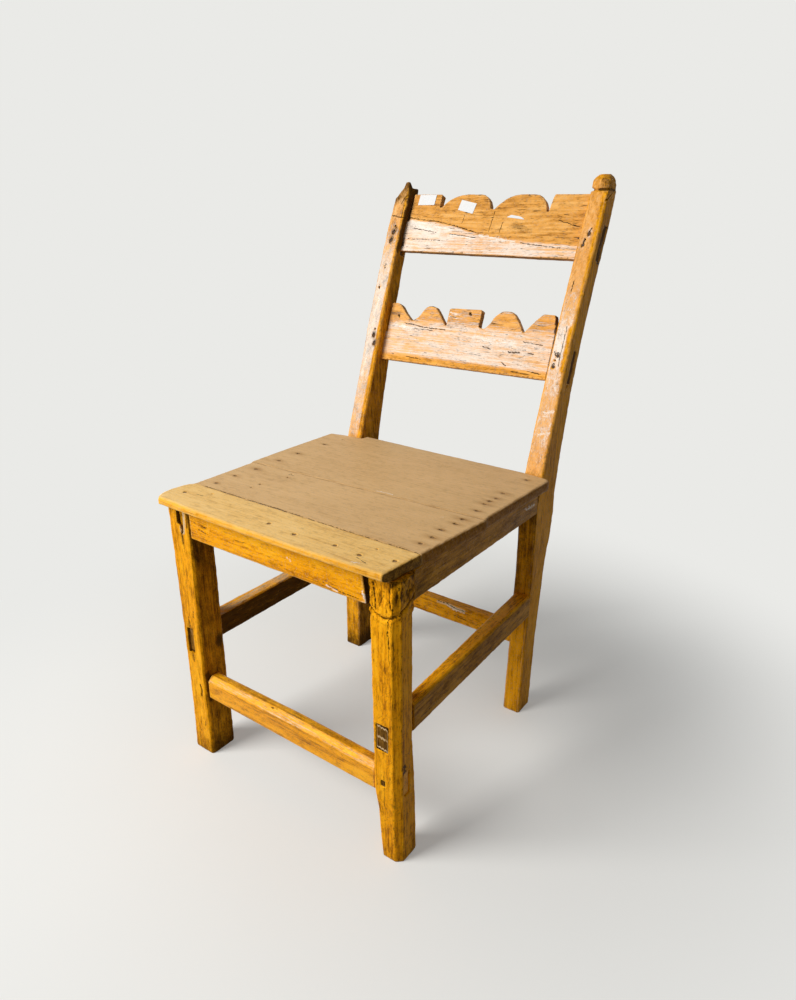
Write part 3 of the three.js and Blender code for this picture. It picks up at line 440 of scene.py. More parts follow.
class Finish(Nodes):
    """A material under construction."""

    def __init__(self, name):
        self.material = bpy.data.materials.new(name)
        super().__init__(self.material)
        self.shader = self.tree.nodes["Principled BSDF"]
        self.place = self.node("ShaderNodeTexCoord").outputs["Object"]

    def bump(self, height, strength, distance):
        made = self.node("ShaderNodeBump")
        self.fill(made, Height=height, Strength=strength, Distance=distance)
        self.fill(self.shader, Normal=made.outputs[0])

    def vector(self, operation, first, second=(0, 0, 0)):
        made = self.node("ShaderNodeVectorMath", operation=operation)
        self.feed(made.inputs[0], first)
        self.feed(made.inputs[1], second)
        return made

    def lengthened(self, first, scale):
        """A vector times a number."""
        return self.fill(self.vector("SCALE", first), Scale=scale).outputs[0]

    def scaled(self, scale, shift=(0, 0, 0), place=None):
        made = self.node("ShaderNodeMapping")
        place = self.place if place is None else place
        self.fill(made, Vector=place, Scale=scale, Location=shift)
        return made.outputs[0]

    def noise(self, place, detail=3.0, roughness=0.55):
        made = self.node("ShaderNodeTexNoise")
        self.fill(made, Vector=place, Scale=1.0, Detail=detail, Roughness=roughness)
        return made.outputs["Fac"]

    def attribute(self, name):
        return self.node("ShaderNodeAttribute", attribute_name=name).outputs["Fac"]

    def between(self, value, low, high, to_low=0.0, to_high=1.0, smooth=True):
        made = self.node("ShaderNodeMapRange",
                         interpolation_type="SMOOTHSTEP" if smooth else "LINEAR")
        self.fill(made, Value=value, From_Min=low, From_Max=high, To_Min=to_low, To_Max=to_high)
        return made.outputs[0]

    def blend(self, share, first, second):
        made = self.node("ShaderNodeMix", data_type="RGBA")
        self.feed(made.inputs[0], share)
        self.feed(made.inputs[6], first)
        self.feed(made.inputs[7], second)
        return made.outputs[2]

    def bands(self, share, colours):
        """A run of colours from the first, at 0, to the last, at 1."""
        made = colours[0]
        steps = len(colours) - 1
        for step, colour in enumerate(colours[1:]):
            made = self.blend(self.between(share, step / steps, (step + 1) / steps, smooth=False),
                              made, colour)
        return made

    def off(self, value, weight):
        """How far a noise lies from its middle, times a weight."""
        return self.times(self.math("SUBTRACT", value, 0.5), weight)

    def total(self, first, *others):
        for other in others:
            first = self.math("ADD", first, other)
        return first

    def distance_to(self, start, end, place):
        """The distance to a straight line between two places."""
        run = Vector(end) - Vector(start)
        away = self.vector("SUBTRACT", place, tuple(start)).outputs[0]
        share = self.math("DIVIDE", self.vector("DOT_PRODUCT", away, tuple(run)).outputs["Value"],
                          run.length_squared, clamp=True)
        foot = self.lengthened(tuple(run), share)
        gap = self.vector("LENGTH", self.vector("SUBTRACT", away, foot).outputs[0])
        return gap.outputs["Value"]

    def strokes(self, routes, facing, wander=0.0034, wander_size=0.009):
        """1 on several thin lines that wander a little, 0 beyond their widths. A route is (points,
        width, axis), on a face that looks along its own axis or else along the facing axis, and
        reaches below the face."""
        shake = self.node("ShaderNodeTexNoise")
        self.fill(shake, Vector=self.place, Scale=1 / wander_size, Detail=2.0)
        offset = self.vector("SUBTRACT", shake.outputs["Color"], (0.5, 0.5, 0.5)).outputs[0]
        moved = self.vector("ADD", self.place, self.lengthened(offset, wander)).outputs[0]
        nearest = 1.0
        for side in "xyz":
            depth = Vector([1 / REACH_BELOW if axis == side else 1.0 for axis in "xyz"])
            place = self.vector("MULTIPLY", moved, tuple(depth)).outputs[0]
            for points, width, own in routes:
                if side != (own or facing):
                    continue
                points = [point * depth for point in points]
                for start, end in zip(points, points[1:]):
                    gap = self.math("DIVIDE", self.distance_to(start, end, place), width)
                    nearest = self.math("MINIMUM", gap, nearest)
        breadth = self.noise(self.scaled((300.0,) * 3), 2.0)
        nearest = self.math("DIVIDE", nearest, self.between(breadth, 0.36, 0.62, 0.25, 1.15))
        return self.between(nearest, 0.3, 1.0, 1.0, 0.0)


def old_pine(name, grain, order, wood, pale, over=None, gloss=0.42, streaks=1.0, flecks=1.0,
             checks=1.0, mottle=1.0, rub=0.3, rubbed=None, relief=1.0, cracks=(), scuffs=(),
             facing="y", shine=0.08):
    """Pine under an old finish: growth rings, streaks, flecks, fine checks, worn edges, pale
    remains, and dirt together with the painted shade that the dark attribute carries. Wood is
    (light, middle, deep), and over is the same where the piece is varnished, or on the right
    stretcher where it is painted in shade. Cracks and scuffs are routes of strokes."""
    f = Finish(name)
    grime_and_shade = colour_of("grime_and_shade")
    shift = (order * 1.37, order * 2.11, order * 0.73)

    def stretched(along, across):
        return f.scaled([along if axis == grain else across for axis in "xyz"], shift)

    edge, hollow, paleness, darkness, front = (
        f.attribute(name) for name in ("edge", "hollow", "pale", "dark", "front"))
    broad = f.noise(stretched(6.0, 24.0), 3.0)
    streak = f.noise(stretched(11.0, 420.0), 4.0, 0.7)
    fibre = f.noise(stretched(70.0, 1700.0), 2.0, 0.6)
    fleck = f.noise(stretched(120.0, 900.0), 2.0, 0.5)
    patch = f.noise(stretched(36.0, 90.0), 5.0, 0.7)
    blot = f.noise(stretched(60.0, 170.0), 4.0, 0.65)
    speck = f.noise(f.scaled((420.0,) * 3, shift), 2.0, 0.5)

    rings = f.node("ShaderNodeTexWave", wave_type="RINGS", rings_direction=grain.upper())
    pull = f.lengthened((0.05, 0.04, 0.03), f.noise(stretched(2.2, 9.0), 2.0))
    bent = f.vector("ADD", stretched(0.25, 1.0), pull).outputs[0]
    f.fill(rings, Vector=bent, Scale=44.0, Distortion=1.8, Detail=2.0)

    tone = f.total(f.off(streak, 1.3), f.off(broad, 1.4), f.off(rings.outputs["Fac"], 0.18),
                   f.off(fibre, 0.8), f.off(patch, 0.9), f.off(blot, 1.1 * mottle))
    tone = f.math("ADD", f.times(tone, streaks), 0.42)
    colour = f.bands(tone, wood)
    if over:
        colour = f.blend(f.attribute("varnish"), colour, f.bands(tone, over))

    # Brown stains: blots, slanting nibs and the flanks of worn edges
    turned = f.fill(f.node("ShaderNodeMapping"), Vector=f.place, Rotation=(0.5, 0.75, 0.5))
    slant = f.noise(f.scaled((90.0, 90.0, 640.0), shift, turned.outputs[0]), 3.0, 0.6)
    nib = f.times(f.between(slant, 0.60, 0.68), f.between(broad, 0.42, 0.58))
    flank = f.times(f.between(edge, 0.06, 0.22), f.between(edge, 0.3, 0.55, 1.0, 0.0))
    flank = f.times(flank, f.between(streak, 0.42, 0.6))
    stain = f.times(f.between(blot, 0.53, 0.66), 0.42 * mottle, clamp=True)
    stain = f.most(stain, f.times(nib, 0.55 * mottle, clamp=True))
    stain = f.most(stain, f.times(flank, 0.5 * mottle, clamp=True))
    colour = f.blend(stain, colour, STAIN)

    # Thin dark marks along the grain: flecks and checks
    dark_fleck = f.times(f.between(fleck, 0.58, 0.68), f.between(patch, 0.44, 0.58))
    dark_fleck = f.times(dark_fleck, 0.75 * flecks, clamp=True)
    vein = f.noise(stretched(5.0, 105.0), 3.0, 0.6)
    check = f.between(f.math("ABSOLUTE", f.math("SUBTRACT", vein, 0.5)), 0.0, 0.010, 1.0, 0.0)
    check = f.times(check, f.between(f.noise(stretched(14.0, 48.0), 2.0), 0.55, 0.64))
    thin_dark = f.most(dark_fleck, f.times(check, 0.75 * checks, clamp=True))

    # Edges rubbed and chipped
    worn = f.between(f.total(edge, f.off(patch, 1.6)), 0.45, 1.1)
    colour = f.blend(f.times(worn, rub), colour, rubbed if rubbed else wood[0])
    chip = f.noise(f.scaled((150.0,) * 3, shift), 3.0, 0.6)
    chip = f.between(f.total(f.times(edge, 0.5), f.off(chip, 2.4)), 0.62, 0.85)

    # Remains of pale paint
    cover = f.total(f.times(paleness, 1.3), f.off(streak, 1.5), f.off(patch, 1.1),
                    f.off(fibre, 0.9), f.off(broad, 0.8))
    cover = f.times(f.between(cover, 0.42, 1.02), f.between(paleness, 0.02, 0.25))
    colour = f.blend(f.times(cover, 0.95), colour, pale)
    colour = f.blend(thin_dark, colour, grime_and_shade)
    colour = f.blend(f.times(chip, 0.55 * flecks, clamp=True), colour, grime_and_shade)

    height = f.total(f.times(fibre, 0.2), f.times(streak, 0.5), f.times(patch, 0.45),
                     f.times(thin_dark, -0.6), f.times(chip, -0.5), f.times(cover, 0.12))
    if scuffs:
        scuff = f.times(f.strokes(scuffs, facing, 0.004, 0.006), front)
        scuff = f.times(scuff, f.between(fibre, 0.36, 0.56))
        colour = f.blend(f.times(scuff, 0.9), colour, SCUFF)

    # Dirt in hollows, and the dark attribute, which carries painted shade as well as dirt, darken
    # towards the grime colour.
    dirt_and_shade = f.total(f.times(darkness, 1.15), f.times(hollow, 0.65), f.off(patch, 1.1),
                   f.off(streak, 0.5), f.off(speck, 0.4))
    dirt_and_shade = f.between(dirt_and_shade, 0.26, 1.1)
    colour = f.blend(f.times(dirt_and_shade, 0.9), colour, grime_and_shade)
    if cracks:
        split = f.times(f.strokes(cracks, facing), front)
        colour = f.blend(f.times(split, 0.9), colour, grime_and_shade)
        height = f.math("ADD", height, f.times(split, -2.4))

    rough = f.total(f.off(patch, 0.35), f.off(streak, 0.2), gloss, f.times(cover, 0.18),
                    f.times(dirt_and_shade, 0.2))
    f.bump(height, 0.8, 0.0008 * relief)
    f.fill(f.shader, Base_Color=colour, Roughness=f.most(rough, 0.2), Specular_IOR_Level=shine,
           Specular_Tint=(1.0, 0.62, 0.2, 1.0))
    return f.material


def colour_of(name):
    return tuple(getattr(bpy.context.scene.chair_colours, name)) + (1.0,)


def colours_of(*names):
    return [colour_of(name) for name in names]


def amber_finish(name, grain, order, pale=0xE9CDA4, tone="amber", **settings):
    wood = colours_of(tone + "_light", tone, tone + "_deep")
    return old_pine(name, grain, order, wood, linear(pale), **settings)


def scrubbed_finish(name, grain, order, over=POST_VARNISH, **settings):
    wood = colours_of("scrubbed_light", "scrubbed", "scrubbed_deep")
    return old_pine(name, grain, order, wood, colour_of("pale"), over=over, gloss=0.5, **settings)


# Pieces


def dress_left_leg(detail):
    node = "front_left_leg"
    leg = weather(
        node, "z", detail, 1, softness=4,
        rounded=lambda height: 1 - smooth_step(height, 0.012, 0.035),
        dents=[(3, 1.0, -181, -4, 130, -178, -4, 121, -180, -4, 110)],
    )
    on = Surface(leg)
    splinter = on.stains((1.1, 11, -181, 0, 433, -183, 0, 414, -185, 0, 399))
    # Darker at the foot; painted shade at the top under the seat and on the inner face, growing
    # towards the apron.
    dark = 0.3 + 0.3 * (1 - smooth_step(on.z, 0, 0.05)) + 0.14 * smooth_step(on.z, 0.40, 0.436)
    inner = smooth_step(on.right, 0.3, 0.9)
    dark += inner * (0.24 + 0.3 * smooth_step(on.z, 0.30, 0.40)) - 0.4 * splinter
    dark += 0.5 * on.near(spot(-167, 35, 199), 0.013, (1, 1, 1.6))
    dark += on.stains(
        (0.7, 5, -192, 0, 432, -194, 0, 412),
        (0.5, 4, -173, 0, 432, -174, 0, 408),
        (0.45, 6, -187, 0, 394, -187, 0, 378),
        (0.4, 9, -168, 4, 104, -168, 4, 150),
        (0.3, 14, -192, 0, 180, -192, 0, 236),
    )
    cracks = lines(
        (1.4, -181, -4, 131, -178, -4, 121, -180, -4, 110),
        (1.0, -176, -3, 60, -179, -3, 44),
        (1.0, -187, -2, 396, -186, -2, 378, -186, -2, 364),
        (1.2, -180, -2, 264, -181, -2, 254),
        (1.4, -193, -2, 250, -191, -2, 232),
        (1.4, -190, -2, 184, -189, -2, 170),
    )
    finish = amber_finish("amber varnish, left leg", "z", 1, pale=0xCDB38A, flecks=0.45,
                          mottle=0.5, cracks=cracks)
    settle(leg, node, finish, pale=splinter, dark=dark)


def dress_right_leg(detail):
    node = "front_right_leg"
    ring = (167, -1, 391, 175, -1, 383, 188, -1, 379, 200, -1, 382, 210, 5, 388, 212, 18, 393,
            212, 36, 401)
    down = (196, -1, 380, 195, -1, 362, 197, -1, 340)
    loop = (199, -1, 431, 197, -1, 408, 201, -1, 395, 210, 0, 396, 214, 4, 408)
    left = (174, -1, 424, 176, -1, 406, 177, -1, 389)
    leg = weather(
        node, "z", detail, 2, softness=4,
        rounded=lambda height: 1 - smooth_step(height, 0.014, 0.04),
        gnarl=lambda height: smooth_step(height, 0.372, 0.392),
        dents=[(4.2, 3.4, *ring), (3.5, 1.4, *down), (4, 1.8, *loop), (3.5, 1.8, *left)],
    )
    on = Surface(leg)
    # Painted shade on the right side; darker at the foot and at the gnarled top, with more painted
    # shade on the right side there.
    side = smooth_step(on.right, 0.4, 0.95)
    dark = 0.36 * (1 - smooth_step(on.z, 0, 0.075)) + 0.12 * side
    dark += smooth_step(on.z, 0.380, 0.41) * (0.14 + 0.28 * side)
    dark += 0.4 * on.near(spot(186, 0, 126), 0.010)
    dark += 0.3 * on.near(spot(205, 0, 95), 0.016, (0.6, 1, 1.6))
    dark += on.stains(
        (1, 5, 166, 3, 434, 167, 3, 392),
        (0.3, 6, 180, 0, 98, 192, 0, 101, 204, 0, 96),
    )
    cracks = lines(
        (1.9, *ring), (1.2, *down), (1.1, *loop), (1.4, *left),
        (1.3, 208, 3, 424, 211, 8, 408),
        (1.1, 179, 0, 92, 181, 0, 80, 184, 0, 72),
        (1.2, 211, 14, 160, 212, 15, 142),
    )
    finish = amber_finish("amber varnish, right leg", "z", 2, flecks=0.8, mottle=0.8,
                          cracks=cracks)
    settle(leg, node, finish, dark=dark)


class CHAIR_OT_front_legs(bpy.types.Operator):
    """Wear and varnish the two front legs"""

    bl_idname = "chair.front_legs"
    bl_label = "Front Legs"

    def execute(self, context):
        detail = context.scene.chair_wear.leg_detail
        dress_left_leg(detail)
        dress_right_leg(detail)
        return {"FINISHED"}


def dress_post(detail, side, order, knob, paleness, cracks, scuffs):
    """One post. Its top is rounded as far as the knob says, and the paleness of its front face
    follows the height."""
    node = f"back_{side}_post"
    post = weather(node, "z", detail, order,
                   rounded=lambda height: knob * smooth_step(height, 0.868, 0.874))
    right_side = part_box(node)[1].x
    if side == "right":
        close_groove(post, right_side)
    on = Surface(post)
    front = smooth_step(-on.back, 0.6, 0.92)
    above = smooth_step(on.z, 0.43, 0.46)
    rubbed = smooth_step(on.z, 0.600, 0.612) * (1 - smooth_step(on.z, 0.670, 0.680))
    strip = right_side - 0.011 - 0.005 * rubbed * (side == "right")
    arris = smooth_step(on.x, strip, strip + 0.004)
    pale = front * above * np.interp(on.z, *paleness) * (1 - 0.85 * arris)
    inward = on.right if side == "left" else -on.right
    dark = 0.45 * (1 - smooth_step(on.z, 0, 0.05))
    # Painted shade on the inner face, stronger below the seat.
    dark += 0.2 * smooth_step(inward, 0.5, 0.9) * (1 - 0.6 * above)
    if side == "left":
        # The left post is darker all over as painted shade and darker at its worn top; its inner
        # face beside the crest rail has painted shade.
        dark += 0.38 + 0.3 * smooth_step(on.z, 0.855, 0.872)
        dark += 0.6 * smooth_step(inward, 0.4, 0.8) * smooth_step(on.z, 0.77, 0.79)
    else:
        dark += right_post_shade_and_dirt(on, right_side)
    for level in ("upper", "lower"):
        for rail in ("crest", "lower"):
            nail = head_of(f"{rail}_nail_{side}_{level}")
            dark += 0.5 * on.near(nail, 0.010, (0.8, 1, 1.3))
            pale = np.maximum(pale, 0.6 * front * on.near(nail, 0.017, (0.6, 1, 1.3)))
            if rail == "crest":
                gaps, width = ((2, 2, 6), (-1, -1, -5)), 0.0021
            else:
                turns = [math.radians(80 * step) for step in range(5)]
                gaps = [(2.6 * math.cos(t), math.sin(t), 2.6 * math.sin(t)) for t in turns]
                width = 0.0011
            cracks.append(([nail + Vector(gap) * MM for gap in gaps], width, None))
    finish = scrubbed_finish(f"scrubbed pine, {side} post", "z", order, flecks=0.5, mottle=0.4,
                             cracks=cracks, scuffs=scuffs)
    bare = front * above * smooth_step(pale + 0.12, 0.05, 0.3) * (1 - arris)
    settle(post, node, finish, pale=pale, dark=dark, varnish=1 - bare)


def right_post_shade_and_dirt(on, right_side):
    """Painted shadow of the seat below it and painted shade on the right part of the cap; darker on
    the neck; dirt in the groove and in the saw cuts.
    """
    # Painted shadow of the seat on the front face below it.
    seat_shadow = np.interp(on.z, [0.19, 0.24, 0.34, 0.40, 0.44, 0.46],
                           [0, 0.45, 0.55, 0.85, 0.8, 0])
    # Painted shade on the right part of the cap's front face.
    cap = smooth_step(on.x, right_side - 0.020, right_side - 0.015)
    cap *= smooth_step(on.z, 0.868, 0.876)
    groove = on.stains((0.5, 3.5, 174, 565, 879, 204, 565, 877))
    neck = on.stains((0.4, 12, 182, 556, 861, 206, 556, 857))
    saw_cuts = on.stains((0.6, 18, 207, 572, 816, 207, 551, 774),
                         (0.5, 16, 207, 484, 660, 207, 470, 598))
    dark = seat_shadow * smooth_step(-on.back, 0.3, 0.7) + 0.55 * cap + groove
    return dark + neck * (on.back < -0.5) + saw_cuts * (on.right > 0.4)


def close_groove(post, right_side):
    """Fills the cap's groove at the outer face, where the cap runs down into the post."""
    places = points_of(post)[0]
    height = places[:, 2]
    level = smooth_step(height, 0.862, 0.874) * (1 - smooth_step(height, 0.884, 0.893))
    reach = smooth_step(places[:, 0], right_side - 0.013, right_side - 0.006)
    places[:, 0] += (right_side - 0.0014 - places[:, 0]) * level * reach
    move_points(post, places)


class CHAIR_OT_back_posts(bpy.types.Operator):
    """Wear the two back posts and leave remains of pale paint on their front faces"""

    bl_idname = "chair.back_posts"
    bl_label = "Back Posts"

    def execute(self, context):
        detail = context.scene.chair_wear.frame_detail
        dress_post(
            detail, "left", 3, knob=0.9,
            paleness=([0.45, 0.55, 0.62, 0.76, 0.82, 0.88], [0.48, 0.6, 0.78, 0.7, 0.38, 0.1]),
            cracks=lines(
                (1.2, -197, 545, 841, -180, 543, 838, -164, 544, 837),
                (1.5, -183, 552, 862, -176, 556, 874),
                (1.2, -176, 545, 838, -175, 553, 858),
                (3.0, -181, 532, 822, -182, 528, 814),
                (2.0, -184, 525, 804, -186, 522, 797),
                (1.8, -181, 524, 803, -182, 522, 798),
                (2.6, -188, 507, 755, -188, 505, 750),
                (2.6, -192, 494, 719, -192, 492, 714),
            ),
            scuffs=lines(
                (4, -187, 489, 700, -191, 476, 665),
                (5, -190, 455, 606, -192, 440, 560),
            ),
        )
        dress_post(
            detail, "right", 4, knob=0.5,
            paleness=([0.45, 0.52, 0.56, 0.66, 0.70, 0.76, 0.88],
                      [0.25, 0.5, 0.42, 0.78, 0.45, 0.22, 0.08]),
            cracks=lines(
                (1.2, 186, 507, 742, 185, 501, 727),
                (1.1, 206, 409, 490, 208, 399, 462),
                (1.4, 181, 465, 637, 183, 463, 631, 190, 462, 630),
                (0.9, 192, 479, 676, 191, 460, 616),
                (1.6, 176, 572, 881, 188, 571, 879, 203, 571, 878),
            ) + lines(
                (2.2, 206, 586, 816, 206, 564, 822, 206, 546, 790, 206, 540, 769, 206, 566, 764),
                (4.0, 206, 497, 582, 206, 498, 578),
                facing="x",
            ),
            scuffs=lines(
                (4, 183, 432, 544, 198, 433, 548),
                (3, 184, 433, 538, 192, 433, 541),
                (3.5, 182, 420, 510, 199, 422, 515),
                (8, 184, 470, 650, 187, 463, 628),
                (3, 187, 478, 672, 190, 481, 655),
            ),
        )
        return {"FINISHED"}


def dress_crest_rail(detail):
    node = "crest_rail"
    rail = weather(node, "x", detail, 5, wave=0.8, nicks=0.5)
    on = Surface(rail)
    border = np.interp(on.across, [-168, -107, -66, -20, 20, 88, 169],
                       [837, 831, 824, 813, 806, 802, 796])
    front = smooth_step(-on.back, 0.5, 0.85)
    under = smooth_step(-on.up, 0.2, 0.7)
    bare = smooth_step(border - on.z / MM, -1, 4) * front * (1 - under)
    paleness = np.interp(on.across, [-170, 0, 170], [0.66, 0.5, 0.6])
    paleness += on.stains((0.4, 12, -160, 552, 826, -100, 548, 812))
    # Painted shade on the underside; faces other than the front are a little darker, and the tenon
    # ends are dark.
    dark = 0.3 + 0.15 * under - 0.1 * front + 0.62 * smooth_step(np.abs(on.across), 176, 182)
    dark += 0.35 * on.near(spot(-162, 550, 826), 0.016)
    dark += on.stains((0.8, 7, -168, 550, 880, -170, 540, 790))
    dark += on.stains((0.3, 10, 52, 553, 824, 84, 550, 816)) * front
    cracks = lines(
        (1.0, -168, 557, 837, -107, 556, 831, -66, 553, 824, -20, 548, 813),
        (0.8, -49, 559, 840, -52, 554, 827),
        (0.9, 10, 562, 847, 6, 549, 815),
        (0.9, 30, 554, 830, 27, 548, 813),
        (0.9, -72, 547, 810, -18, 545, 804),
        (0.9, 71, 542, 797, 144, 539, 790),
        (0.8, 130, 556, 833, 172, 552, 822),
        (0.8, -152, 551, 819, -102, 549, 812),
        (0.8, -161, 545, 801, -90, 544, 799),
    )
    scuffs = lines(
        (3.5, -160, 556, 832, -112, 553, 824, -70, 550, 816),
        (5, -160, 553, 827, -112, 550, 816),
        (3.5, -70, 547, 808, -20, 545, 803),
        (4.5, -10, 546, 808, 60, 543, 798),
    )
    finish = scrubbed_finish("scrubbed pine, crest rail", "x", 5, over=CREST_VARNISH, flecks=0.9,
                             mottle=0.4, checks=1.5, cracks=cracks, scuffs=scuffs)
    settle(rail, node, finish, pale=bare * paleness, dark=dark,
           varnish=1 - bare)


def dress_lower_rail(detail):
    node = "lower_back_rail"
    rail = weather(node, "x", detail, 6, wave=0.8, nicks=0.5)
    on = Surface(rail)
    level = on.z / MM
    front = smooth_step(-on.back, 0.5, 0.85)
    under = 1 - smooth_step(level, 594, 604)
    pale = 0.6 * front * (1 - under) * (1 - 0.45 * smooth_step(level, 650, 668))
    # Painted shade: the rail's right end beyond a slanted line is painted dark, for the shadowed
    # gap between its shoulder and the post.
    right_wedge = on.across - np.interp(level, [656, 700], [166, 158.5])
    dark = 0.36 - 0.1 * front + 0.3 * smooth_step(np.abs(on.across), 176, 182)
    dark += 1.3 * smooth_step(right_wedge, -0.5, 1)
    dark += 0.3 * on.near(spot(-158, 495, 668), 0.03)
    for knot in path(48, 482, 628, 101, 481, 625, 131, 481, 626):
        dark += 0.35 * on.near(knot, 0.007, (1.8, 1, 0.8))
    cracks = lines(
        (3.4, 3, 500, 680, 5, 500, 678),
        (3.0, -147, 496, 667, -145, 496, 665),
        (1.1, -131, 491, 655, -84, 490, 651, -41, 490, 650),
        (0.8, -106, 489, 648, -67, 489, 647),
        (1.2, 40, 482, 630, 56, 481, 626),
        (1.6, 91, 480, 625, 112, 481, 626),
        (1.0, 126, 481, 627, 137, 481, 626),
        (1.0, 132, 471, 599, 156, 471, 597),
        (0.8, 114, 487, 643, 150, 487, 641),
        (0.9, -112, 471, 598, -79, 470, 597),
        (1.0, 82, 474, 608, 91, 473, 604),
        (0.9, -36, 498, 673, -22, 498, 672),
    )
    scuffs = lines(
        (2.8, -38, 500, 679, -17, 500, 677),
        (2.2, -38, 498, 673, -20, 498, 671),
        (7, -150, 490, 652, -110, 488, 645),
        (8, 20, 486, 642, 100, 485, 638),
    )
    finish = scrubbed_finish("scrubbed pine, lower rail", "x", 6, flecks=0.9, mottle=0.5,
                             checks=1.5, cracks=cracks, scuffs=scuffs)
    settle(rail, node, finish, pale=pale, dark=dark,
           varnish=0.55 * under + 0.3 * smooth_step(level, 655, 670))


class CHAIR_OT_back_rails(bpy.types.Operator):
    """Wear the crest rail and the lower rail"""

    bl_idname = "chair.back_rails"
    bl_label = "Back Rails"

    def execute(self, context):
        detail = context.scene.chair_wear.frame_detail
        dress_crest_rail(detail)
        dress_lower_rail(detail)
        return {"FINISHED"}


def dress_front_apron(detail):
    node = "front_apron"
    apron = weather(node, "x", detail, 7, wave=0.8, nicks=0.8)
    on = Surface(apron)
    low = 1 - smooth_step(on.z, 0.391, 0.402)
    # Painted shadow of the seat's nose along the top of the apron.
    dark = 0.22 * smooth_step(on.z, 0.422, 0.434)
    dark += 0.45 * on.near(spot(-136, 0, 415), 0.011, (1.5, 1, 0.8))
    dark += on.stains((0.25, 6, -80, 0, 412, -48, 0, 414))
    dark += 1.4 * (on.across > 150) * (on.depth > 2.2) * (on.depth < 17)
    cracks = lines(
        (0.9, -150, -1, 410, -128, -1, 407),
        (1.1, -144, -1, 418, -130, -1, 416),
        (0.8, -79, -1, 413, -49, -1, 415),
        (1.0, 92, -1, 399, 118, -1, 395, 150, -1, 394),
    )
    scuffs = lines(
        (4.5, 157, -1, 405, 160, -1, 400, 161, -1, 394),
        (2.5, 30, -1, 415, 36, -1, 413),
        (2.4, 98, -1, 397, 115, -1, 393),
    )
    finish = amber_finish("amber varnish, front apron", "x", 7, flecks=0.6, mottle=0.7, rub=0.6,
                          rubbed=linear(0xF5BC58), cracks=cracks, scuffs=scuffs)
    settle(apron, node, finish, dark=dark,
           pale=low * (0.12 + 0.3 * smooth_step(on.across, 140, 165)))


class CHAIR_OT_aprons(bpy.types.Operator):
    """Wear and varnish the four aprons under the seat"""

    bl_idname = "chair.aprons"
    bl_label = "Aprons"

    def execute(self, context):
        detail = context.scene.chair_wear.frame_detail
        dress_front_apron(detail)
        scuffs = {"right": lines((4, 205, 345, 412, 205, 376, 409))}
        for order, (side, grain) in enumerate({"left": "y", "right": "y", "back": "x"}.items(), 8):
            node = f"{side}_apron"
            apron = weather(node, grain, detail, order)
            on = Surface(apron)
            dark = 0.34 + 0.35 * on.near(spot(205, 62, 400), 0.03)
            dark += on.stains((0.3, 6, 205, 90, 434, 205, 330, 434))
            # Painted shade: the shaded colours darken these three aprons under the seat.
            finish = amber_finish(f"dark varnish, {side} apron", grain, order, tone="shaded",
                                  mottle=0.6, flecks=0.5, facing="x", scuffs=scuffs.get(side, ()))
            settle(apron, node, finish, dark=dark)
        return {"FINISHED"}


def dress_front_stretcher(detail):
    node = "front_stretcher"
    bar = weather(node, "x", detail, 11, wave=0.8, nicks=0.5, softness=4)
    on = Surface(bar)
    up = on.up
    # Painted highlight: the bevel between the top and the front gets pale colour as a light line
    # along the arris.
    ridge_highlight = smooth_step(up, 0.3, 0.5) * (1 - smooth_step(up, 0.8, 0.95)) * (on.back < 0)
    dark = 0.5 * smooth_step(up, 0.75, 0.97)
    dark += on.stains((0.35, 8, -166, 2, 110, -166, 2, 146))
    finish = amber_finish(
        "amber varnish, front stretcher", "x", 11, flecks=0.6, mottle=0.7, gloss=0.36, rub=0.45,
        shine=0.4, rubbed=linear(0xF4BD6C),
        cracks=lines((1.4, -29, 11, 147, -24, 12, 147), (0.8, -120, 2, 112, -60, 2, 109)),
    )
    settle(bar, node, finish, pale=0.42 * ridge_highlight, dark=dark)


def dress_stretcher(detail, side, grain, order, slot, paleness, darkness, chip=(), **marks):
    """One of the other stretchers, with its top as pale and its sides as dark as told, that dark
    being painted shade and dirt.
    """
    node = f"{side}_stretcher"
    bar = weather(node, grain, detail, order)
    on = Surface(bar)
    top = smooth_step(on.up, 0.3, 0.8)
    pale = paleness * top
    if chip:
        pale = np.maximum(pale, on.stains((1, 7, *chip)))
    # On the right stretcher the sides take the shaded colours, as painted shade.
    finish = amber_finish(f"amber varnish, {side} stretcher", grain, order,
                          over=colours_of("shaded_light", "shaded", "shaded_deep"), **marks)
    settle(bar, node, finish, pale=pale, dark=darkness * (1 - 0.6 * top),
           varnish=(side == "right") * (1 - top))


class CHAIR_OT_stretchers(bpy.types.Operator):
    """Wear and varnish the four stretchers"""

    bl_idname = "chair.stretchers"
    bl_label = "Stretchers"

    def execute(self, context):
        detail = context.scene.chair_wear.frame_detail
        dress_front_stretcher(detail)
        chip = (17, 392, 168, 40, 392, 168, 58, 392, 165, 74, 392, 165)
        dress_stretcher(detail, "left", "y", 12, "shaded_varnish", 0.5, 0.95)
        dress_stretcher(
            detail, "right", "y", 13, "varnished_pine", 0.08, 0.36, facing="x",
            cracks=lines((1.0, 204, 337, 229, 204, 338, 224), (0.8, 204, 60, 205, 204, 130, 208)),
        )
        dress_stretcher(
            detail, "back", "x", 14, "varnished_pine", 0.2, 0.15, chip=chip,
            cracks=lines((1.1, *chip), (0.9, 52, 392, 151, 84, 392, 147)),
            scuffs=lines((3, 40, 392, 165, 58, 392, 162, 74, 392, 162)),
        )
        return {"FINISHED"}


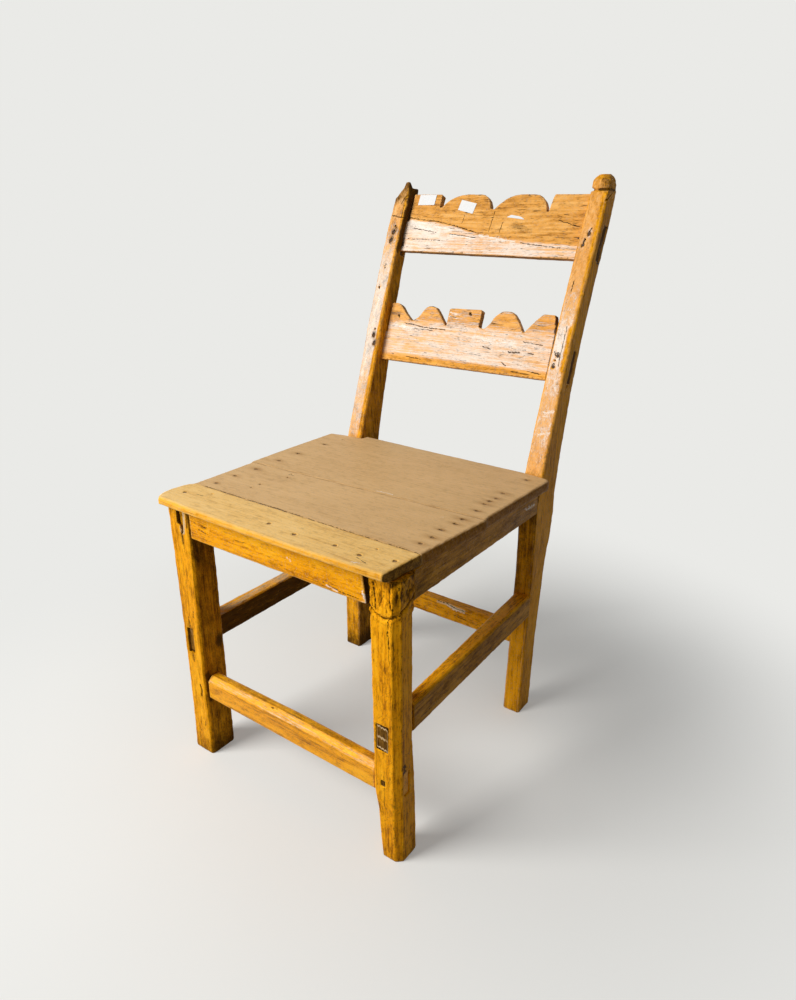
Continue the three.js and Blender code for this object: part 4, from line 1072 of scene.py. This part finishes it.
class CHAIR_OT_plugs(bpy.types.Operator):
    """Roughen the plugs and the peg in the front legs"""

    bl_idname = "chair.plugs"
    bl_label = "Plugs and Peg"

    def execute(self, context):
        detail = context.scene.chair_wear.small_detail
        nodes = ("front_left_plug", "front_right_plug", "front_right_peg")
        for order, node in enumerate(nodes, 15):
            plug = weather(node, "z", detail, order, softness=1, wave=1.8, nicks=0.5)
            on = Surface(plug)
            low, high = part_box(node)
            middle, half = (low + high) / 2, (high - low) / 2
            across = on.x - middle.x
            lean = 0.12 * across + 0.0007 * np.sin(on.x * 1300)
            across = np.abs(across) / half.x
            along = np.abs(on.z - middle.z + lean) / half.z
            outline = smooth_step(np.maximum(across, along), 0.86, 0.97)
            if node == "front_left_plug":
                lip = on.stains((0.6, 4, -196, 0, 236, -190, 0, 205, -187, 0, 180))
            elif node == "front_right_plug":
                lip = smooth_step(np.maximum(across - 0.06, along), 0.72, 0.8) * (1 - outline)
                lip = 0.8 * np.maximum(lip, 0.8 * smooth_step(along, 0.13, 0.07))
            else:
                lip = 0.7 * smooth_step(middle.z - on.z, 0.002, 0.005)
            finish = old_pine(f"end grain, {node}", "z", order, SPLINTERS, linear(0xDDC096),
                              gloss=0.65, checks=0.6, flecks=0.4, mottle=0.4)
            settle(plug, node, finish, pale=0.85 * lip,
                   dark=0.55 + 0.5 * outline - 0.4 * lip)
        return {"FINISHED"}


def dress_seat_board(context, board, order, **marks):
    node = f"seat_board_{board}"
    plank = weather(node, "x", context.scene.chair_wear.seat_detail, order, softness=1,
                    wave=0.4, nicks=0.6)
    on = Surface(plank)
    top = smooth_step(on.up, 0.5, 0.9)
    right = smooth_step(on.right, 0.4, 0.8)
    dark = (0.8 if board == "front" else 0.36) * right
    # Painted shade on the undersides.
    dark += 0.25 * smooth_step(-on.up, 0.3, 0.8)
    smudge = 0.06 * smooth_step(on.across, 30, 200)
    for turn, nail in enumerate(frame["nodes"]):
        if nail.startswith(f"seat_nail_{board}_"):
            low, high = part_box(nail)
            head = Vector(((low.x + high.x) / 2, (low.y + high.y) / 2, high.z))
            dark += 0.5 * on.near(head, 0.009, (1.5, 0.9, 1))
            smudge += 0.42 * on.near(head, 0.010 + 0.003 * (turn % 3), (1.7, 0.7, 1))
    marks.update(facing="z", flecks=0.2, checks=0.15)
    if board == "front":
        nose = smooth_step(-on.back, 0.3, 0.7)
        dark += 0.18 * on.near(spot(-165, 22, 450), 0.03, (1.2, 0.6, 1)) * top
        wood = [linear(0xFAD28A), colour_of("honey"), linear(0xC69046)]
        finish = old_pine("honey varnish, front board", "x", order, wood, linear(0xFFE3B4),
                          over=NOSE_VARNISH, gloss=0.38, streaks=0.7, mottle=0.45, relief=0.4,
                          rub=0.6, rubbed=linear(0xF2BE62), **marks)
        settle(plank, node, finish, dark=dark, varnish=np.maximum(nose, right))
        return
    if board == "middle":
        dark += 0.2 * on.near(spot(110, 164, 450), 0.011) * top
    wood = [linear(0xE5BE88), colour_of("khaki"), linear(0xBC925F)]
    finish = old_pine(f"khaki paint, {board} board", "x", order, wood, linear(0xEAD9C0),
                      over=BROWN_SMUDGES, gloss=0.5, streaks=0.5, mottle=0.35, relief=0.35,
                      rub=0.35, rubbed=linear(0xA0743C), **marks)
    settle(plank, node, finish, dark=dark, varnish=np.maximum(right, smudge))


class CHAIR_OT_seat_boards(bpy.types.Operator):
    """Wear and paint the three boards of the seat"""

    bl_idname = "chair.seat_boards"
    bl_label = "Seat Boards"

    def execute(self, context):
        seam = (1.4, -197, 58, 450, 204, 54, 450)
        dress_seat_board(
            context, "front", 18,
            cracks=lines(seam, (0.9, -180, 27, 450, -166, 29, 450),
                         (0.9, 148, 2, 450, 166, -4, 450)),
            scuffs=lines((2.2, 151, -11, 450, 160, -9, 450), (1.6, -92, 56, 450, -20, 56, 450)),
        )
        dress_seat_board(
            context, "middle", 19,
            cracks=lines(seam, (0.9, -130, 172, 450, -118, 172, 450),
                         (0.7, -92, 58, 450, -30, 58, 450)),
            scuffs=lines((2.6, 28, 192, 450, 60, 194, 450), (1.4, 162, 168, 450, 165, 168, 450)),
        )
        dress_seat_board(
            context, "back", 20,
            cracks=lines((0.8, -188, 372, 450, -180, 372, 450)),
            scuffs=lines((1.4, 30, 196, 450, 58, 198, 450)),
        )
        return {"FINISHED"}


def iron_finish(name, dark, light):
    f = Finish(name)
    blotch = f.noise(f.scaled((900.0,) * 3), 3.0, 0.6)
    f.fill(f.shader, Base_Color=f.blend(f.between(blotch, 0.4, 0.65), dark, light),
           Roughness=f.between(blotch, 0.3, 0.7, 0.55, 0.9), Metallic=0.2)
    f.bump(blotch, 0.6, 0.0004)
    return f.material


class CHAIR_OT_nails(bpy.types.Operator):
    """Rust the nails"""

    bl_idname = "chair.nails"
    bl_label = "Nails"

    def execute(self, context):
        rusty = iron_finish("rusty iron", linear(0x2A1E16), colour_of("rust"))
        painted = iron_finish("rusty iron under old paint", linear(0x6E5030), linear(0xA07A4C))
        for name in frame["nodes"]:
            if "_nail_" in name:
                repaint(name, painted if name.startswith("seat") else rusty)
        return {"FINISHED"}


class CHAIR_OT_labels(bpy.types.Operator):
    """Make the blank paper labels on the crest rail"""

    bl_idname = "chair.labels"
    bl_label = "Paper Labels"

    def execute(self, context):
        f = Finish("paper")
        fibre = f.noise(f.scaled((1400.0,) * 3), 3.0, 0.6)
        stain = f.noise(f.scaled((90.0,) * 3), 2.0, 0.5)
        colour = f.blend(f.between(stain, 0.5, 0.8, 0.0, 0.35), colour_of("paper"),
                         linear(0xDCD6C8))
        f.fill(f.shader, Base_Color=colour, Roughness=0.8)
        f.bump(f.total(fibre, f.times(stain, 2.0)), 0.3, 0.0002)
        for name in ("label_left", "label_middle", "label_torn"):
            repaint(name, f.material)
        return {"FINISHED"}


# Stage

BACKDROP = linear(0xEAEAE7)
# Taken from the photograph's fitted camera: millimetres, degrees, and shares of the sensor
CAMERA_PLACE = (648.2, -600.6, 831.8)
CAMERA_TURN = (69.7, 0.0, 35.9)
CAMERA_LENS = {"sensor_width": 36.0, "lens": 25.74, "shift_x": -0.0014, "shift_y": -0.0147,
               "clip_start": 0.05}


def area_light(name, place, target, size, power, colour=(1, 1, 1)):
    bpy.ops.object.select_all(action="DESELECT")
    bpy.ops.object.light_add(type="AREA", location=place)
    lamp = bpy.context.object
    lamp.name = name
    lamp.data.shape = "RECTANGLE"
    lamp.data.size, lamp.data.size_y = size
    lamp.data.energy = power
    lamp.data.color = colour
    lamp.rotation_euler = (Vector(target) - Vector(place)).to_track_quat("-Z", "Y").to_euler()


def make_floor(context):
    """A pale floor that fades into the backdrop. Light that leaves it for the chair is dimmed,
    as by a dark cloth just out of view."""
    bpy.ops.object.select_all(action="DESELECT")
    bpy.ops.mesh.primitive_circle_add(vertices=96, radius=9.0, fill_type="NGON")
    floor = context.object
    floor.name = "studio_floor"
    f = Finish("studio floor")
    seen = f.seen_directly()
    cloud = f.noise(f.scaled((1.4,) * 3), 3.0, 0.5)
    plain = f.blend(f.between(cloud, 0.3, 0.7, 0.0, 0.3), colour_of("floor"), linear(0xE6E6E4))
    f.fill(f.shader, Base_Color=f.blend(seen, linear(0x8E8C88), plain), Roughness=0.75,
           Specular_IOR_Level=0.2)
    haze = f.fill(f.node("ShaderNodeEmission"), Color=BACKDROP)
    distance = f.vector("LENGTH", f.place).outputs["Value"]
    # Near the chair a quarter of what the camera sees of the floor is the backdrop's glow, which
    # lightens the chair's shadow as painted light; further out it fades wholly into the backdrop.
    faded = f.times(f.between(distance, 0.32, 1.0, 0.25, 1.0), seen)
    mix = f.mix_shaders(faded, f.shader.outputs[0], haze.outputs[0])
    f.fill(f.tree.nodes["Material Output"], Surface=mix)
    floor.data.materials.append(f.material)


def make_room(context, strength):
    """Even light all round, behind a plain backdrop."""
    world = bpy.data.worlds.new("studio")
    context.scene.world = world
    w = Nodes(world)
    backdrop = w.fill(w.tree.nodes["Background"], Color=BACKDROP, Strength=1.0)
    light = w.fill(w.node("ShaderNodeBackground"), Color=(1.0,) * 4, Strength=strength)
    mix = w.mix_shaders(w.seen_directly(), light.outputs[0], backdrop.outputs[0])
    w.fill(w.tree.nodes["World Output"], Surface=mix)


def make_camera(context):
    bpy.ops.object.select_all(action="DESELECT")
    bpy.ops.object.camera_add(location=spot(*CAMERA_PLACE))
    camera = context.object
    camera.name = "photo_camera"
    camera.rotation_euler = [math.radians(turn) for turn in CAMERA_TURN]
    for key, value in CAMERA_LENS.items():
        setattr(camera.data, key, value)
    context.scene.camera = camera


class CHAIR_OT_stage(bpy.types.Operator):
    """Set up the floor, the lights and the camera"""

    bl_idname = "chair.stage"
    bl_label = "Stage"

    def execute(self, context):
        stage = context.scene.chair_stage
        make_floor(context)
        area_light("front light", (-1.5, -2.4, 2.1), (0, 0, 0.4), (1.8, 1.6), stage.key_power,
                   (1.0, 0.985, 0.96))
        area_light("side light", (2.6, -1.4, 1.8), (0, 0, 0.45), (1.6, 1.6), stage.fill_power)
        make_room(context, stage.world_light)
        make_camera(context)
        context.scene.view_settings.view_transform = "Standard"
        return {"FINISHED"}


class CHAIR_PT_panel(bpy.types.Panel):
    """Lists the chair's pieces and settings"""

    bl_label = "Worn Pine Side Chair"
    bl_idname = "CHAIR_PT_panel"
    bl_space_type = "VIEW_3D"
    bl_region_type = "UI"
    bl_category = "Chair"

    def draw(self, context):
        for group in ("chair_wear", "chair_colours", "chair_stage"):
            settings = getattr(context.scene, group)
            box = self.layout.box()
            for name in settings.__annotations__:
                box.prop(settings, name)
        for operator in OPERATORS:
            self.layout.operator(operator.bl_idname)


OPERATORS = (
    CHAIR_OT_stage,
    CHAIR_OT_front_legs,
    CHAIR_OT_back_posts,
    CHAIR_OT_back_rails,
    CHAIR_OT_aprons,
    CHAIR_OT_stretchers,
    CHAIR_OT_plugs,
    CHAIR_OT_seat_boards,
    CHAIR_OT_nails,
    CHAIR_OT_labels,
)
GROUPS = {"chair_wear": ChairWear, "chair_colours": ChairColours, "chair_stage": ChairStage}


def register():
    for name, group in GROUPS.items():
        bpy.utils.register_class(group)
        setattr(bpy.types.Scene, name, PointerProperty(type=group))
    for operator in OPERATORS:
        bpy.utils.register_class(operator)
    bpy.utils.register_class(CHAIR_PT_panel)


def unregister():
    bpy.utils.unregister_class(CHAIR_PT_panel)
    for operator in reversed(OPERATORS):
        bpy.utils.unregister_class(operator)
    for name, group in reversed(GROUPS.items()):
        delattr(bpy.types.Scene, name)
        bpy.utils.unregister_class(group)


def main():
    register()
    bpy.ops.chair.stage()
    bpy.ops.chair.front_legs()
    bpy.ops.chair.back_posts()
    bpy.ops.chair.back_rails()
    bpy.ops.chair.aprons()
    bpy.ops.chair.stretchers()
    bpy.ops.chair.plugs()
    bpy.ops.chair.seat_boards()
    bpy.ops.chair.nails()
    bpy.ops.chair.labels()


if __name__ == "__main__":
    main()
